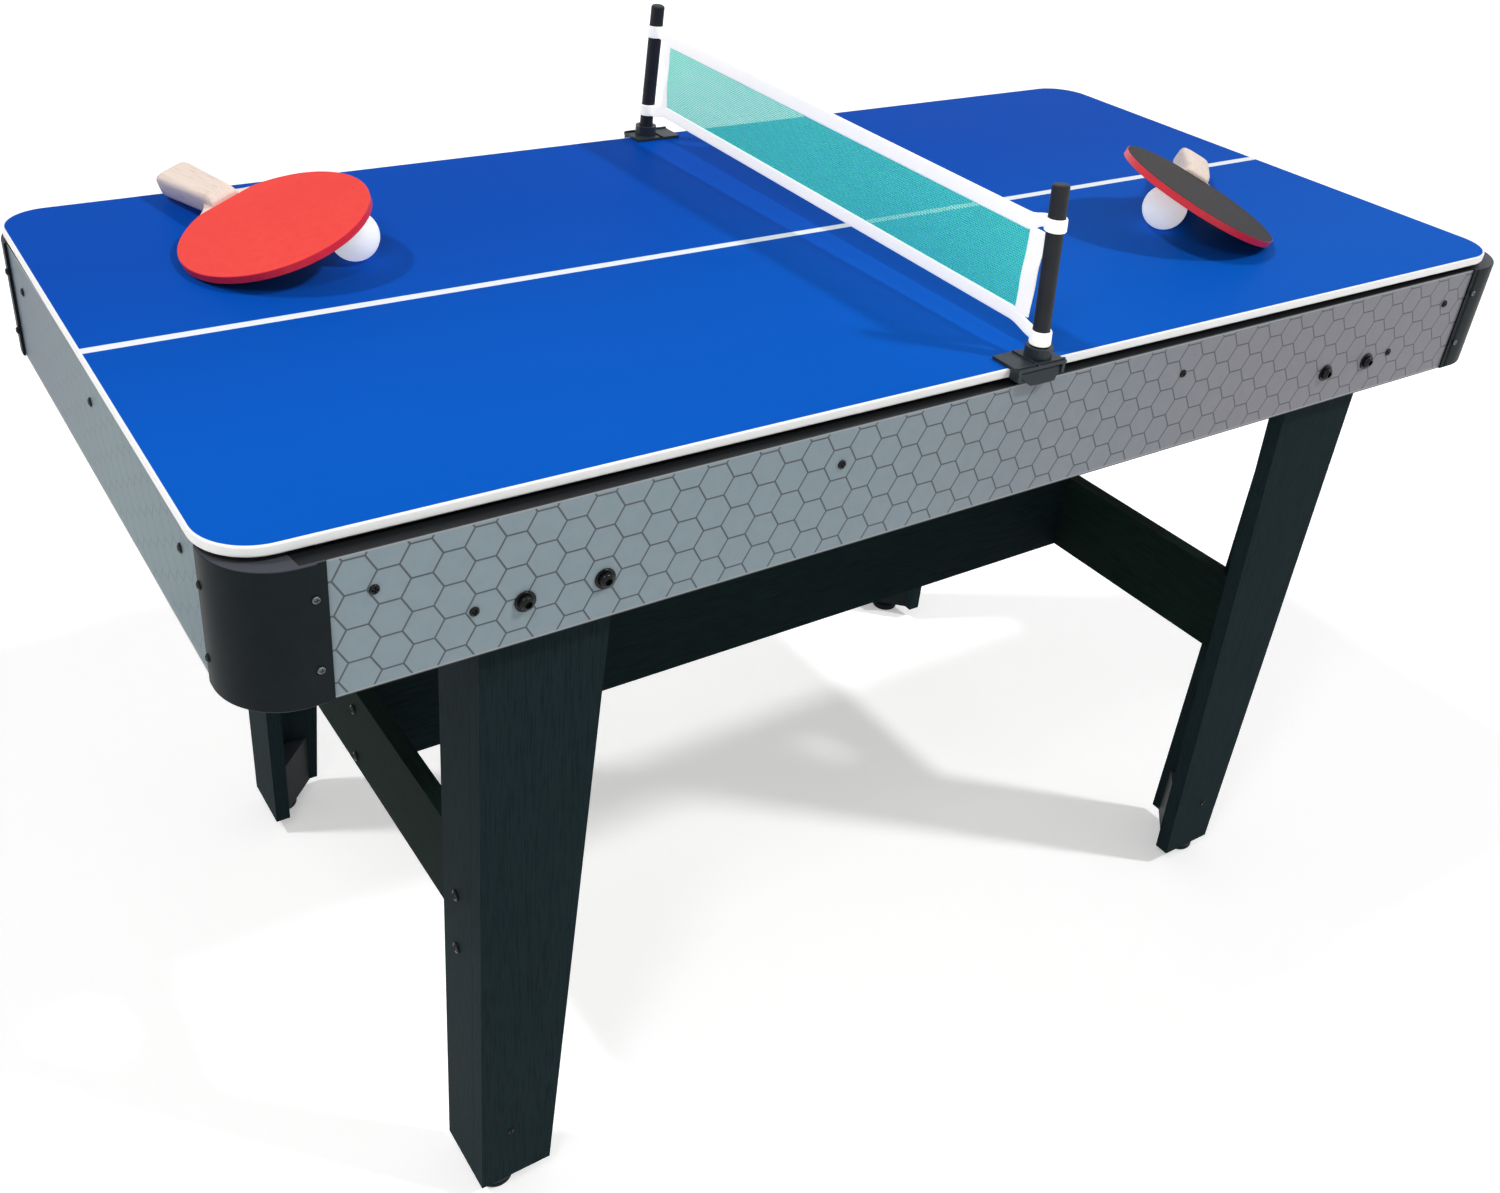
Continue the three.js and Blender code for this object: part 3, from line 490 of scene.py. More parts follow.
for material, names in (
    (long_laminate, ["front_panel", "back_panel"]),
    (end_laminate, ["left_end_panel", "right_end_panel"]),
    (bare_fibreboard, ["front_rail", "back_rail", "left_rail", "right_rail"]),
    (white_melamine, ["playfield_board"]),
    (cross_melamine, ["cross_panel_left", "cross_panel_right"]),
    (long_melamine, ["stretcher"]),
    (closed_cell_foam, ["rest_strip_left", "rest_strip_right"]),
):
    for name in names:
        finish_node(name, material)
for corner, _, _ in CORNERS:
    for board in ("wide", "side"):
        finish_node(f"leg_{corner}_{board}_board", upright_melamine)
    finish_node(f"foot_block_{corner}", moulded_abs)
print("Finished CAD boards")

# %% [markdown]
# ## Mesh helpers
# Each new piece is a form, that is points in millimetres and the faces between them. Almost
# every one here is a row of sections with equally many points, joined to a bar: a prism is two
# plan outlines, a lathe is a stack of circles, and a swept ring is a profile carried round a
# closed path. A form is placed by a matrix: on the table itself, or in the frame of the top.

# %% Mesh helpers
ARC_STEPS = 24  # on a quarter circle
ON_TABLE = Matrix.Scale(MM, 4)
ON_TOP = ON_TABLE @ Matrix.Translation(TOP_PLACE_MM) @ Matrix.Rotation(TOP_TURN, 4, "Z")


def moved(form, place):
    """The form's points moved by a matrix."""
    points, faces = form
    return [place @ Vector(point) for point in points], faces


def together(*forms):
    """Several forms as one."""
    points, faces = [], []
    for more_points, more_faces in forms:
        start = len(points)
        points += [Vector(point) for point in more_points]
        faces += [[start + corner for corner in face] for face in more_faces]
    return points, faces


def bar(sections, looped=False):
    """Join closed sections; cap both ends, or join the last section to the first."""
    count, total = len(sections[0]), len(sections)
    points = [point for section in sections for point in section]
    faces = []
    for at in range(total if looped else total - 1):
        here, there = at * count, (at + 1) % total * count
        for side in range(count):
            beside = (side + 1) % count
            faces.append([here + side, here + beside, there + beside, there + side])
    if not looped:
        faces += [list(range(count))[::-1], list(range(len(points) - count, len(points)))]
    return points, faces


def circle(steps):
    """Cosine and sine at equal steps round a circle."""
    angles = [2 * math.pi * step / steps for step in range(steps)]
    return [(math.cos(angle), math.sin(angle)) for angle in angles]


def prism(outline, low, high):
    """A plan outline with height."""
    return bar([[(x, y, z) for x, y in outline] for z in (low, high)])


def lathe(profile, sides):
    """A profile of (radius, height) turned round Z; each end is closed by a face."""
    return bar([[(radius * x, radius * y, z) for x, y in circle(sides)] for radius, z in profile])


def section_at(point, out, profile):
    """A profile of (inward, height) set up at a point of a plan path."""
    return [(point.x - out.x * inward, point.y - out.y * inward, z) for inward, z in profile]


def facing(direction):
    """A turn that takes +Z to the direction."""
    return Vector((0, 0, 1)).rotation_difference(Vector(direction)).to_matrix().to_4x4()


def add_piece(name, form, place, body, material, instead_of=(), sharp_degrees=35):
    """Make a mesh piece, fix it to its body and let it stand for CAD nodes."""
    points, faces = form
    mesh = bpy.data.meshes.new(name)
    mesh.from_pydata([place @ Vector(point) for point in points], [], faces)
    own_place = mesh.attributes.new("own_place", "FLOAT_VECTOR", "POINT")
    own_place.data.foreach_set("vector", [MM * number for point in points for number in point])
    work = bmesh.new()
    work.from_mesh(mesh)
    bmesh.ops.remove_doubles(work, verts=work.verts, dist=1e-6)
    bmesh.ops.recalc_face_normals(work, faces=work.faces)
    work.to_mesh(mesh)
    work.free()
    mesh.materials.append(material)
    mesh.polygons.foreach_set("use_smooth", [True] * len(mesh.polygons))
    mesh.set_sharp_from_angle(angle=math.radians(sharp_degrees))
    piece = put_in_scene(name, mesh)
    piece.modifiers.new("even shading", "WEIGHTED_NORMAL").keep_sharp = True
    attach(piece, body)
    if instead_of:
        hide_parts(*instead_of)
    return piece


def rounded_corner(middle, radius, start, steps):
    """Points and outward directions on a quarter circle that starts at that angle."""
    path = []
    for step in range(steps + 1):
        angle = start + step / steps * math.pi / 2
        out = Vector((math.cos(angle), math.sin(angle)))
        path.append((Vector(middle) + out * radius, out))
    return path


print("Mesh helpers ready")

# %% [markdown]
# ## Loose top and its edging
# The top is a 7 mm board with a white PVC edging pressed into a slot all round. The edging is
# an extrusion with a rounded face and a small lip over the board's edge, so one profile swept
# round the board's outline gives it, corners and all.

# %% Loose top and edging
TOP_HALF_MM = (603.5, 291.2)
TOP_CORNER_MM = 40
TOP_THICKNESS_MM = 7
BOARD_INSET_MM = 1.3
EDGING_PROFILE_MM = [
    (1.9, 7.08), (1.6, 7.2), (1.1, 7.2), (0.5, 6.95), (0.12, 6.4), (0.0, 5.6),
    (0.0, 1.4), (0.12, 0.7), (0.5, 0.15), (1.1, 0.0), (1.9, 0.0),
]

top_path = []
for quarter, (sign_x, sign_y) in enumerate(((1, 1), (-1, 1), (-1, -1), (1, -1))):
    middle = (sign_x * (TOP_HALF_MM[0] - TOP_CORNER_MM), sign_y * (TOP_HALF_MM[1] - TOP_CORNER_MM))
    top_path += rounded_corner(middle, TOP_CORNER_MM, quarter * math.pi / 2, ARC_STEPS)
board_outline = [tuple(point - out * BOARD_INSET_MM) for point, out in top_path]
add_piece(
    "playing_surface", prism(board_outline, 0, TOP_THICKNESS_MM), ON_TOP,
    "tabletop", blue_top, ["tennis_board"],
)
edging = bar([section_at(point, out, EDGING_PROFILE_MM) for point, out in top_path], looped=True)
add_piece(
    "white_edging", edging, ON_TOP,
    "tabletop", white_pvc, ["edge_moulding"], sharp_degrees=70,
)
print("Top", [2 * half for half in TOP_HALF_MM], "mm")

# %% [markdown]
# ## Moulded corner pieces
# Each corner piece wraps the cabinet's corner with a wall of radius 45 mm, has a thin flange
# over each panel and a web on top that carries the loose top. The wall is a profile carried
# round the corner; where it becomes a flange, the profile gets thin. Along the long flange's
# edge runs a narrow lip that is a little thinner. One corner is made and mirrored to the rest.

# %% Corner pieces
CABINET_HALF_MM = Vector((610, 300))
CORNER_RADIUS_MM = 45
CORNER_PROUD_MM = 2.5
PANEL_MM = 15
SEAT_MM = 0.3  # the clearance between pieces that touch
LONG_FLANGE_END_MM = 552
LONG_PANEL_END_MM = 568
END_FLANGE_END_MM = 252
END_PANEL_END_MM = 262
WEB_MM = 4
CORNER_EDGE_MM = 1.6  # rounding of the moulding's outer edges
FLANGE_LIP_MM = (6, 0.8, 0.5)  # a thinner strip along the flange: width, step and rounding
EDGE_ROUNDING = [(1, 0), (0.5, 0.13), (0.13, 0.5), (0, 1)]  # a quarter circle, inward and up

corner_outer = CABINET_HALF_MM + Vector((CORNER_PROUD_MM, CORNER_PROUD_MM))
corner_middle = corner_outer - Vector((CORNER_RADIUS_MM, CORNER_RADIUS_MM))


def corner_section(point, out, depth, step=0):
    """The wall's section at one place of its path; step sets its outer face back."""
    low, high = PANEL_HEIGHTS_MM
    edge = FLANGE_LIP_MM[2] if step else CORNER_EDGE_MM
    profile = [(depth, low)]
    profile += [(step + edge * inward, low + edge * rise) for inward, rise in EDGE_ROUNDING]
    profile += [(step + edge * inward, high - edge * rise) for inward, rise in EDGE_ROUNDING[::-1]]
    return section_at(point, out, profile + [(depth, high)])


def corner_wall():
    """The rounded wall with a flange at each end, for the right-hand back corner."""
    flange = CORNER_PROUD_MM - SEAT_MM
    wall = PANEL_MM + flange
    sections = [corner_section(Vector((corner_outer.x, END_FLANGE_END_MM)), Vector((1, 0)), flange)]
    for point, out in rounded_corner(corner_middle, CORNER_RADIUS_MM, 0, ARC_STEPS):
        thin = point.y < END_PANEL_END_MM + SEAT_MM or point.x < LONG_PANEL_END_MM
        sections.append(corner_section(point, out, flange if thin else wall))
    lip, lip_step, _ = FLANGE_LIP_MM
    for beyond, step in ((lip, 0), (lip - lip_step, lip_step), (0, lip_step)):
        point = Vector((LONG_FLANGE_END_MM + beyond, corner_outer.y))
        sections.append(corner_section(point, Vector((0, 1)), flange, step))
    return bar(sections)


def corner_web():
    """The flat web inside the wall."""
    inward = PANEL_MM + CORNER_PROUD_MM
    arc = rounded_corner(corner_middle, CORNER_RADIUS_MM, 0, ARC_STEPS // 2)
    outline = [
        (LONG_FLANGE_END_MM, END_FLANGE_END_MM), (corner_outer.x - inward, END_FLANGE_END_MM),
        *(tuple(point - out * inward) for point, out in arc),
        (LONG_FLANGE_END_MM, corner_outer.y - inward),
    ]
    high = PANEL_HEIGHTS_MM[1] - SEAT_MM
    return prism(outline, high - WEB_MM, high)


corner_form = together(corner_wall(), corner_web())
for corner, sign_x, sign_y in CORNERS:
    add_piece(
        f"corner_moulding_{corner}", corner_form,
        ON_TABLE @ Matrix.Diagonal((sign_x, sign_y, 1, 1)),
        "cabinet", moulded_abs, [f"corner_{corner}"],
    )
print("Corner form has", len(corner_form[1]), "faces")

# %% [markdown]
# ## Screws and bolts
# Small pan-head screws hold the corner pieces and the inner rails, and button-head bolts with
# washers hold the legs. A pan head is a low dome with a cross recess: rings of points follow
# the dome, and those inside the cross are pushed down. The bolt's head is turned like a real
# one, with a socket in its middle, and its nut sits behind the leg's board. The long flanges'
# screws are zinc-plated, the others black.

# %% Screws
SCREW_SIDES = 24
DOME_SHARES = (1.0, 0.97, 0.86, 0.7, 0.5, 0.3, 0.12)  # of the radius, from rim to middle
RIM_SHARE = 0.35  # of the height, at the rim
RECESS_SHARES = (0.15, 0.62, 0.55)  # half the cross's width, its reach, its depth
FLUSH_MM = 1.8  # how deep the right flange's heads are driven in
# Each row: the face's distance from the middle, (place, height) of its heads, radius and height.
LONG_SIDE_SCREWS = {
    "panel_screws": (
        300, [(x, 656) for x in (-524, -179, 169, 522)] + [(-460, 620), (456, 620)], 3.4, 2.0
    ),
    "flange_screws": (302.5, [(x, z) for x in (-560, 560) for z in (661, 611)], 2.6, 1.8),
    "foot_block_screws": (284.7, [(-423.6, 75), (423.6, 75)], 2.9, 1.6),
}
END_SCREWS = {
    "panel_screws": (610, [(y, 658) for y in (-211, 0, 211)], 3.4, 2.0),
    "flange_screws": (612.5, [(y, z) for y in (-256, 256) for z in (659, 607)], 2.9, 1.8),
    "leg_side_bolts": (450, [(y, z) for y in (-243, 243) for z in (321, 265)], 4.6, 2.6),
    "stretcher_bolts": (434.7, [(0, 321), (0, 268)], 4.6, 2.6),
}


def screw_head(radius, height):
    """A pan head with a cross recess, standing on z = 0."""
    half_width, reach, depth = RECESS_SHARES
    sections = [[(radius * x, radius * y, 0) for x, y in circle(SCREW_SIDES)]]
    for share in DOME_SHARES:
        top = height * (RIM_SHARE + (1 - RIM_SHARE) * math.sqrt(1 - share**2))
        section = []
        for x, y in circle(SCREW_SIDES):
            in_cross = min(abs(share * x), abs(share * y)) < half_width and share < reach
            z = top - depth * height if in_cross else top
            section.append((radius * share * x, radius * share * y, z))
        sections.append(section)
    return bar(sections)


for rows, walls, across in ((LONG_SIDE_SCREWS, ENDS, 1), (END_SCREWS, SIDES, 0)):
    for wall, sign in walls:
        direction = (0, sign, 0) if across else (sign, 0, 0)
        for name, (distance, spots, radius, height) in rows.items():
            sunk = FLUSH_MM if (name, wall) == ("flange_screws", "right") else 0
            metal = zinc_plated_steel if name == "flange_screws" and across else blackened_steel
            heads = []
            for along, z in spots:
                out = sign * (distance - sunk)
                spot = Matrix.Translation((along, out, z) if across else (out, along, z))
                heads.append(moved(screw_head(radius, height), spot @ facing(direction)))
            form = together(*heads)
            add_piece(f"{name}_{wall}", form, ON_TABLE, "cabinet", metal)
print("Screws in place")

# %% Leg bolts
BOLT_SIDES = 40
LEG_BOLTS_MM = {"outer": 425, "inner": 367}  # their distance from the table's middle
LEG_BOLT_HEIGHT_MM = 617
LEG_INNER_FACE_MM = 269.7
BOLT_PROFILE_MM = [
    (7.6, 0.3), (7.6, 1.2), (7.3, 1.5), (5.6, 1.5), (5.6, 2.4), (5.4, 3.4), (4.8, 4.5),
    (3.9, 5.2), (2.9, 5.5), (2.6, 5.45), (2.4, 3.2), (0.9, 3.0),
]
NUT_MM = (5.5, 4.7)  # radius over its corners, thickness
NUT_SIDES = 6

nut_top = LEG_INNER_FACE_MM - CABINET_HALF_MM.y - SEAT_MM
leg_bolt = together(
    lathe(BOLT_PROFILE_MM, BOLT_SIDES),
    lathe([(NUT_MM[0], nut_top - NUT_MM[1]), (NUT_MM[0], nut_top)], NUT_SIDES),
)
for corner, sign_x, sign_y in CORNERS:
    for which, distance in LEG_BOLTS_MM.items():
        spot = (sign_x * distance, sign_y * CABINET_HALF_MM.y, LEG_BOLT_HEIGHT_MM)
        place = ON_TABLE @ Matrix.Translation(spot) @ facing((0, sign_y, 0))
        name = f"leg_bolt_{corner}_{which}"
        add_piece(
            f"button_{name}", leg_bolt, place, "cabinet", blackened_steel, [name]
        )
print("Leg bolts in place")

# %% [markdown]
# ## Levelling feet
# A levelling foot is a plastic disc on an M6 screw that goes up into the foot block. It is a
# turned form, so a lathe makes it, with the disc's edges rounded.

# %% Levelling feet
FOOT_SIDES = 40
FOOT_PROFILE_MM = [
    (14.2, 0.0), (15.4, 0.4), (16.0, 1.5), (16.0, 4.4), (15.5, 5.5), (14.3, 6.0), (6.4, 6.3),
    (6.0, 6.7), (6.0, 9.0), (3.0, 9.0), (3.0, 45.8), (2.4, 46.0),
]
FOOT_PLACE_MM = (429.5, 264.7)

for corner, sign_x, sign_y in CORNERS:
    spot = Matrix.Translation((sign_x * FOOT_PLACE_MM[0], sign_y * FOOT_PLACE_MM[1], 0))
    add_piece(
        f"levelling_disc_{corner}", lathe(FOOT_PROFILE_MM, FOOT_SIDES), ON_TABLE @ spot,
        f"levelling_foot_{corner}", moulded_abs, [f"leveller_{corner}"],
    )
print("Levelling feet in place")

# %% [markdown]
# ## Net clamps and posts
# Two moulded clamps grip the top's edge, with a spring jaw below and a socket above. Their CAD
# solids have the right shape and only get eased edges. The posts are plain tubes that lean
# a little inward under the net's pull.

# %% Net clamps and posts
CLAMP_BEVEL_MM = 0.45
POST_RADIUS_MM = 6.5
POST_SIDES = 48
POST_LEAN = math.radians(5)
POST_BOTTOM_MM = 3.7  # all heights here are above the playing surface
POST_TOP_MM = 131.5
POST_AXIS_MM = (287.2, 7.4)  # how far out the post's axis is, at that height
POST_EDGE_MM = 0.4  # at the post's lower end
POST_CAP_MM = ((0, 1.6), (0.4, 0.6), (1.3, 0.1), (2.4, 0))  # in from the radius, below the top
NET_PLACE_MM = 17.3


def post_axis(height):
    """How far the post's axis is from the top's middle, at that height."""
    return POST_AXIS_MM[0] - (height - POST_AXIS_MM[1]) * math.tan(POST_LEAN)


post_length = (POST_TOP_MM - POST_BOTTOM_MM) / math.cos(POST_LEAN)
post_profile = [(POST_RADIUS_MM - POST_EDGE_MM, 0), (POST_RADIUS_MM, POST_EDGE_MM)]
post_profile += [(POST_RADIUS_MM - inward, post_length - below) for inward, below in POST_CAP_MM]
for end, sign in ENDS:
    finish_node(f"net_clamp_{end}", clamp_abs, CLAMP_BEVEL_MM)
    finish_node(f"clamp_jaw_{end}", clamp_abs, CLAMP_BEVEL_MM)
    spot = (NET_PLACE_MM, sign * post_axis(POST_BOTTOM_MM), TOP_THICKNESS_MM + POST_BOTTOM_MM)
    lean = Matrix.Rotation(sign * POST_LEAN, 4, "X")
    add_piece(
        f"round_post_{end}", lathe(post_profile, POST_SIDES),
        ON_TOP @ Matrix.Translation(spot) @ lean,
        "net_set", post_tube, [f"net_post_{end}"],
    )
print("Posts", round(post_length, 1), "mm long")

# %% [markdown]
# ## Net
# The net is a fine knitted nylon mesh, sewn between white polyester tapes. Transparency could
# fake it, but real threads also hold up in other views and in the exported mesh. So both
# directions of threads are modelled as flat filaments, drawn a little coarser than the real
# one millimetre mesh so that they show. The cloth hangs nearly flat, with a slow wave.

# %% Net finishes
DYE_CLOUD_MM = 14
WEAVE_MM = 0.8  # rib spacing of the tape's weave
SOIL_MM = 12
# The tape's emission is a painted glow: it lifts the white beyond what the lamps give.
TAPE_PAINTED_GLOW = 0.42  # stands for an optical brightener; its strength follows the photograph


def nylon_thread():
    """Knitted nylon: bright sea green, with a slightly uneven dye and no gloss to speak of."""
    material, tree = start_finish("knitted_nylon_sea_green")
    place = add_node(tree, "TexCoord").outputs["Object"]
    base_tone = mottled(tree, place, DYE_CLOUD_MM, "55F2D4", "61FBE2")
    return end_finish(material, satin(0.6, 0.3, 1.53), base_tone)


def polyester_tape():
    """Woven polyester: clean white with fine ribs; an emission is a painted glow that makes it
    brighter than its surroundings.
    """
    material, tree = start_finish("woven_polyester_tape_painted_glow")
    place = add_node(tree, "TexCoord").outputs["Object"]
    bands = {"Vector": place, "Scale": math.pi / (10 * WEAVE_MM * MM), "Distortion": 0.3}
    ribs = add_node(tree, "TexWave", bands, bands_direction="DIAGONAL").outputs["Fac"]
    soil = mottled(tree, place, SOIL_MM, "F2F3F3", "FBFCFC")
    # Painted glow: the tape emits light though it is no lamp.
    glow = {"Emission Color": "FFF8E4", "Emission Strength": TAPE_PAINTED_GLOW}
    return end_finish(material, {**satin(0.75, 0.25), **glow}, soil, ribs, 0.08, 0.35)


net_nylon = nylon_thread()
white_tape = polyester_tape()
print("Net finishes ready")

# %% Net threads
MESH_ENDS_MM = (-257, 250)  # where the mesh goes under the near and far end tapes
# Heights above the top, at the near and the far end: the net hangs a little askew.
BOTTOM_TAPE_MM = ((19.5, 29), (30.5, 40))
TOP_TAPE_MM = ((90.5, 98), (103.5, 111))
THREAD_PITCH_MM = 1.7
THREAD_WIDTH_MM = 0.72
THREAD_THICKNESS_MM = 0.25
THREAD_PLACES = (7, 61)  # sections of an upright and of a level thread
NET_WAVE_MM = 1.3
WAVE_LENGTH_MM, PUCKER_REACH_MM, PUCKER_STEPS_MM = 71, 22, (7, 9)
WAVE_START, PUCKER_SHARE = 0.6, 0.5  # radians; height of a pucker as a share of the wave's
TAPE_LAP_MM = 1  # how far the mesh runs under a tape


def along_net(ends, y):
    """The value at one place along the net, between its near and far end."""
    share = (y - MESH_ENDS_MM[0]) / (MESH_ENDS_MM[1] - MESH_ENDS_MM[0])
    return ends[0] + share * (ends[1] - ends[0])


def cloth_edges(y):
    """Heights between which the mesh shows, at one place along the net."""
    return along_net(BOTTOM_TAPE_MM[1], y), along_net(TOP_TAPE_MM[0], y)


def net_wave(y, height):
    """How far the cloth stands out of its plane: a slow wave, and puckers near its ends."""
    low, high = cloth_edges(y)
    belly = math.sin(math.pi * min(max((height - low) / (high - low), 0), 1))
    to_end = min(y - MESH_ENDS_MM[0], MESH_ENDS_MM[1] - y)
    fold = math.sin(height / PUCKER_STEPS_MM[0] + y / PUCKER_STEPS_MM[1])
    pucker = math.exp(-max(to_end, 0) / PUCKER_REACH_MM) * fold
    wave = math.sin(y / WAVE_LENGTH_MM + WAVE_START)
    return NET_WAVE_MM * belly * (wave + PUCKER_SHARE * pucker)


def thread(path, across):
    """A flat filament along a path of (y, height); across is its wide direction."""
    wide = Vector(across) * THREAD_WIDTH_MM / 2
    thick = Vector((THREAD_THICKNESS_MM / 2, 0, 0))
    sections = []
    for y, height in path:
        middle = Vector((NET_PLACE_MM + net_wave(y, height), y, TOP_THICKNESS_MM + height))
        corners = (wide + thick, thick - wide, -wide - thick, wide - thick)
        sections.append([middle + corner for corner in corners])
    return bar(sections)


def spread(low, high, count):
    """Count places from low to high."""
    return [low + (high - low) * step / (count - 1) for step in range(count)]


def mesh_place(y, share):
    """A point of the mesh; share runs from its lower to its upper edge."""
    low, high = cloth_edges(y)
    return y, low - TAPE_LAP_MM + share * (high - low + 2 * TAPE_LAP_MM)


mesh_length = MESH_ENDS_MM[1] - MESH_ENDS_MM[0]
mesh_height = TOP_TAPE_MM[0][0] - BOTTOM_TAPE_MM[1][0] + 2 * TAPE_LAP_MM
columns, rows = round(mesh_length / THREAD_PITCH_MM), round(mesh_height / THREAD_PITCH_MM)
upright = [
    thread([mesh_place(y, share) for share in spread(0, 1, THREAD_PLACES[0])], (0, 1, 0))
    for y in spread(*MESH_ENDS_MM, columns + 1)
]
level = [
    thread([mesh_place(y, share) for y in spread(*MESH_ENDS_MM, THREAD_PLACES[1])], (0, 0, 1))
    for share in spread(0, 1, rows + 1)
]
net_cloth = add_piece(
    "net_mesh", together(*upright, *level), ON_TOP, "net_set", net_nylon, ["net"]
)
print("Net mesh of", columns, "by", rows, "cells")

# %% [markdown]
# ## Net tapes
# A wide tape is folded over the net's top edge and a narrower one over its lower edge, and an
# end tape closes each end. All are sewn flat, so each is a strip between two edges in the net's
# plane, thicker in its middle. At the posts the two long tapes end in sleeves. The sleeves of
# the far post sit a little higher, and the near lower one is pulled down.

# %% Net tapes
TAPE_THICKNESS_MM = 1.7
BEND_PLACES, SPAN_PLACES, END_PLACES = 9, 60, 16  # sections of a tape's bend, span and end tape
END_TAPE_OVER_MM = 3  # how far an end tape reaches past the mesh, above and below
STRIP_PROFILE = (  # over its width, from 0 to 1, and its share of the thickness there
    (0, 0.35), (0.04, 0.75), (0.18, 0.9), (0.5, 1), (0.82, 0.9), (0.96, 0.75), (1, 0.35),
)
SLEEVE_START_MM = 252  # where the long tapes begin to bend towards their sleeves
SLEEVE_WALL_MM = 1.4
SLEEVE_BITE_MM = 1.0  # how far a long tape runs into its sleeve
SLEEVE_STEPS = 32
SLEEVE_PROFILE = ((0, -0.5), (0.75, -0.5), (1, -0.42), (1, 0.42), (0.75, 0.5), (0, 0.5))
SLEEVES = {  # middle height and width of each sleeve
    ("front", "top"): (103, 9.5),
    ("front", "bottom"): (18.6, 10.5),
    ("back", "top"): (107, 11),
    ("back", "bottom"): (29, 10.5),
}
END_TAPE_EDGES_MM = {  # outer edge of each end tape, from its lower to its upper end
    "front": (270.6, 270.6, 270.8, 271.4, 272.4, 272.6),
    "back": (262.0, 256.5, 255.4, 257.0, 260.5, 264.0),
}


def tape_end(end, which):
    """How far out the long tape meets its sleeve round the post."""
    reach = POST_RADIUS_MM + SEAT_MM + SLEEVE_WALL_MM - SLEEVE_BITE_MM
    return post_axis(SLEEVES[(end, which)][0]) - reach


def strip(edges):
    """A sewn strip between pairs of (y, height) edges, rounded over its width."""
    sections = []
    for (y_a, z_a), (y_b, z_b) in edges:
        front, back = [], []
        for share, bulge in STRIP_PROFILE:
            y, height = y_a + share * (y_b - y_a), z_a + share * (z_b - z_a)
            x, z = NET_PLACE_MM + net_wave(y, height), TOP_THICKNESS_MM + height
            front.append((x - bulge * TAPE_THICKNESS_MM / 2, y, z))
            back.append((x + bulge * TAPE_THICKNESS_MM / 2, y, z))
        sections.append(front + back[::-1])
    return bar(sections)


def long_tape(tape, which):
    """The strip along the net's top or lower edge, which eases into both sleeves."""
    places = spread(-tape_end("front", which), -SLEEVE_START_MM, BEND_PLACES)[:-1]
    places += spread(-SLEEVE_START_MM, SLEEVE_START_MM, SPAN_PLACES)
    places += spread(SLEEVE_START_MM, tape_end("back", which), BEND_PLACES)[1:]
    edges = []
    for y in places:
        end = "front" if y < 0 else "back"
        middle, width = SLEEVES[(end, which)]
        share = (abs(y) - SLEEVE_START_MM) / (tape_end(end, which) - SLEEVE_START_MM)
        share = min(max(share, 0), 1)
        share = share * share * (3 - 2 * share)
        low, high = along_net(tape[0], y), along_net(tape[1], y)
        low += share * (middle - width / 2 - low)
        high += share * (middle + width / 2 - high)
        edges.append(((y, low), (y, high)))
    return strip(edges)


def end_tape(end, sign):
    """The strip down the net's end."""
    outer = END_TAPE_EDGES_MM[end]
    inner = MESH_ENDS_MM[0 if end == "front" else 1]
    low, high = cloth_edges(inner)
    edges = []
    heights = spread(low - END_TAPE_OVER_MM, high + END_TAPE_OVER_MM, END_PLACES)
    for at, height in zip(spread(0, len(outer) - 1, END_PLACES), heights):
        first = min(int(at), len(outer) - 2)
        reach = outer[first] + (at - first) * (outer[first + 1] - outer[first])
        edges.append(((inner - sign * TAPE_LAP_MM, height), (sign * reach, height)))
    return strip(edges)


def sleeve(end, sign, which):
    """A closed band of tape round a post."""
    middle, width = SLEEVES[(end, which)]
    sections = []
    for x, y in circle(SLEEVE_STEPS):
        section = []
        for wall, height in SLEEVE_PROFILE:
            reach = POST_RADIUS_MM + SEAT_MM + wall * SLEEVE_WALL_MM
            z = middle + height * width
            y_place = sign * post_axis(z) + reach * y / math.cos(POST_LEAN)
            section.append((NET_PLACE_MM + reach * x, y_place, TOP_THICKNESS_MM + z))
        sections.append(section)
    return bar(sections, looped=True)


strips = {
    "net_tape_top": long_tape(TOP_TAPE_MM, "top"),
    "net_tape_bottom": long_tape(BOTTOM_TAPE_MM, "bottom"),
}
for end, sign in ENDS:
    strips[f"net_tape_{end}_end"] = end_tape(end, sign)
    for which in ("top", "bottom"):
        strips[f"net_sleeve_{end}_{which}"] = sleeve(end, sign, which)
tapes = [
    add_piece(name, form, ON_TOP, "net_set", white_tape, sharp_degrees=60)
    for name, form in strips.items()
]
print("Net tapes:", len(tapes))

# %% [markdown]
# ## Bats
# Each bat is a plywood blade with a shaped handle, a red rubber sheet on one side and a black
# one on the other, and a red tape round the rim. It leans on its ball: the blade's plane
# touches the ball and meets the playing surface at a line, which fixes its slope.

# %% Bat finishes
WOOD_FIBRE_MM = 0.9
WOOD_STREAK_MM = 6
FIBRE_STEP = (0.3, 0.45)  # noise below the first is a dark fibre, above the second it is wood
RUBBER_CLOUD_MM = 8
VINYL_CLOUD_MM = 10


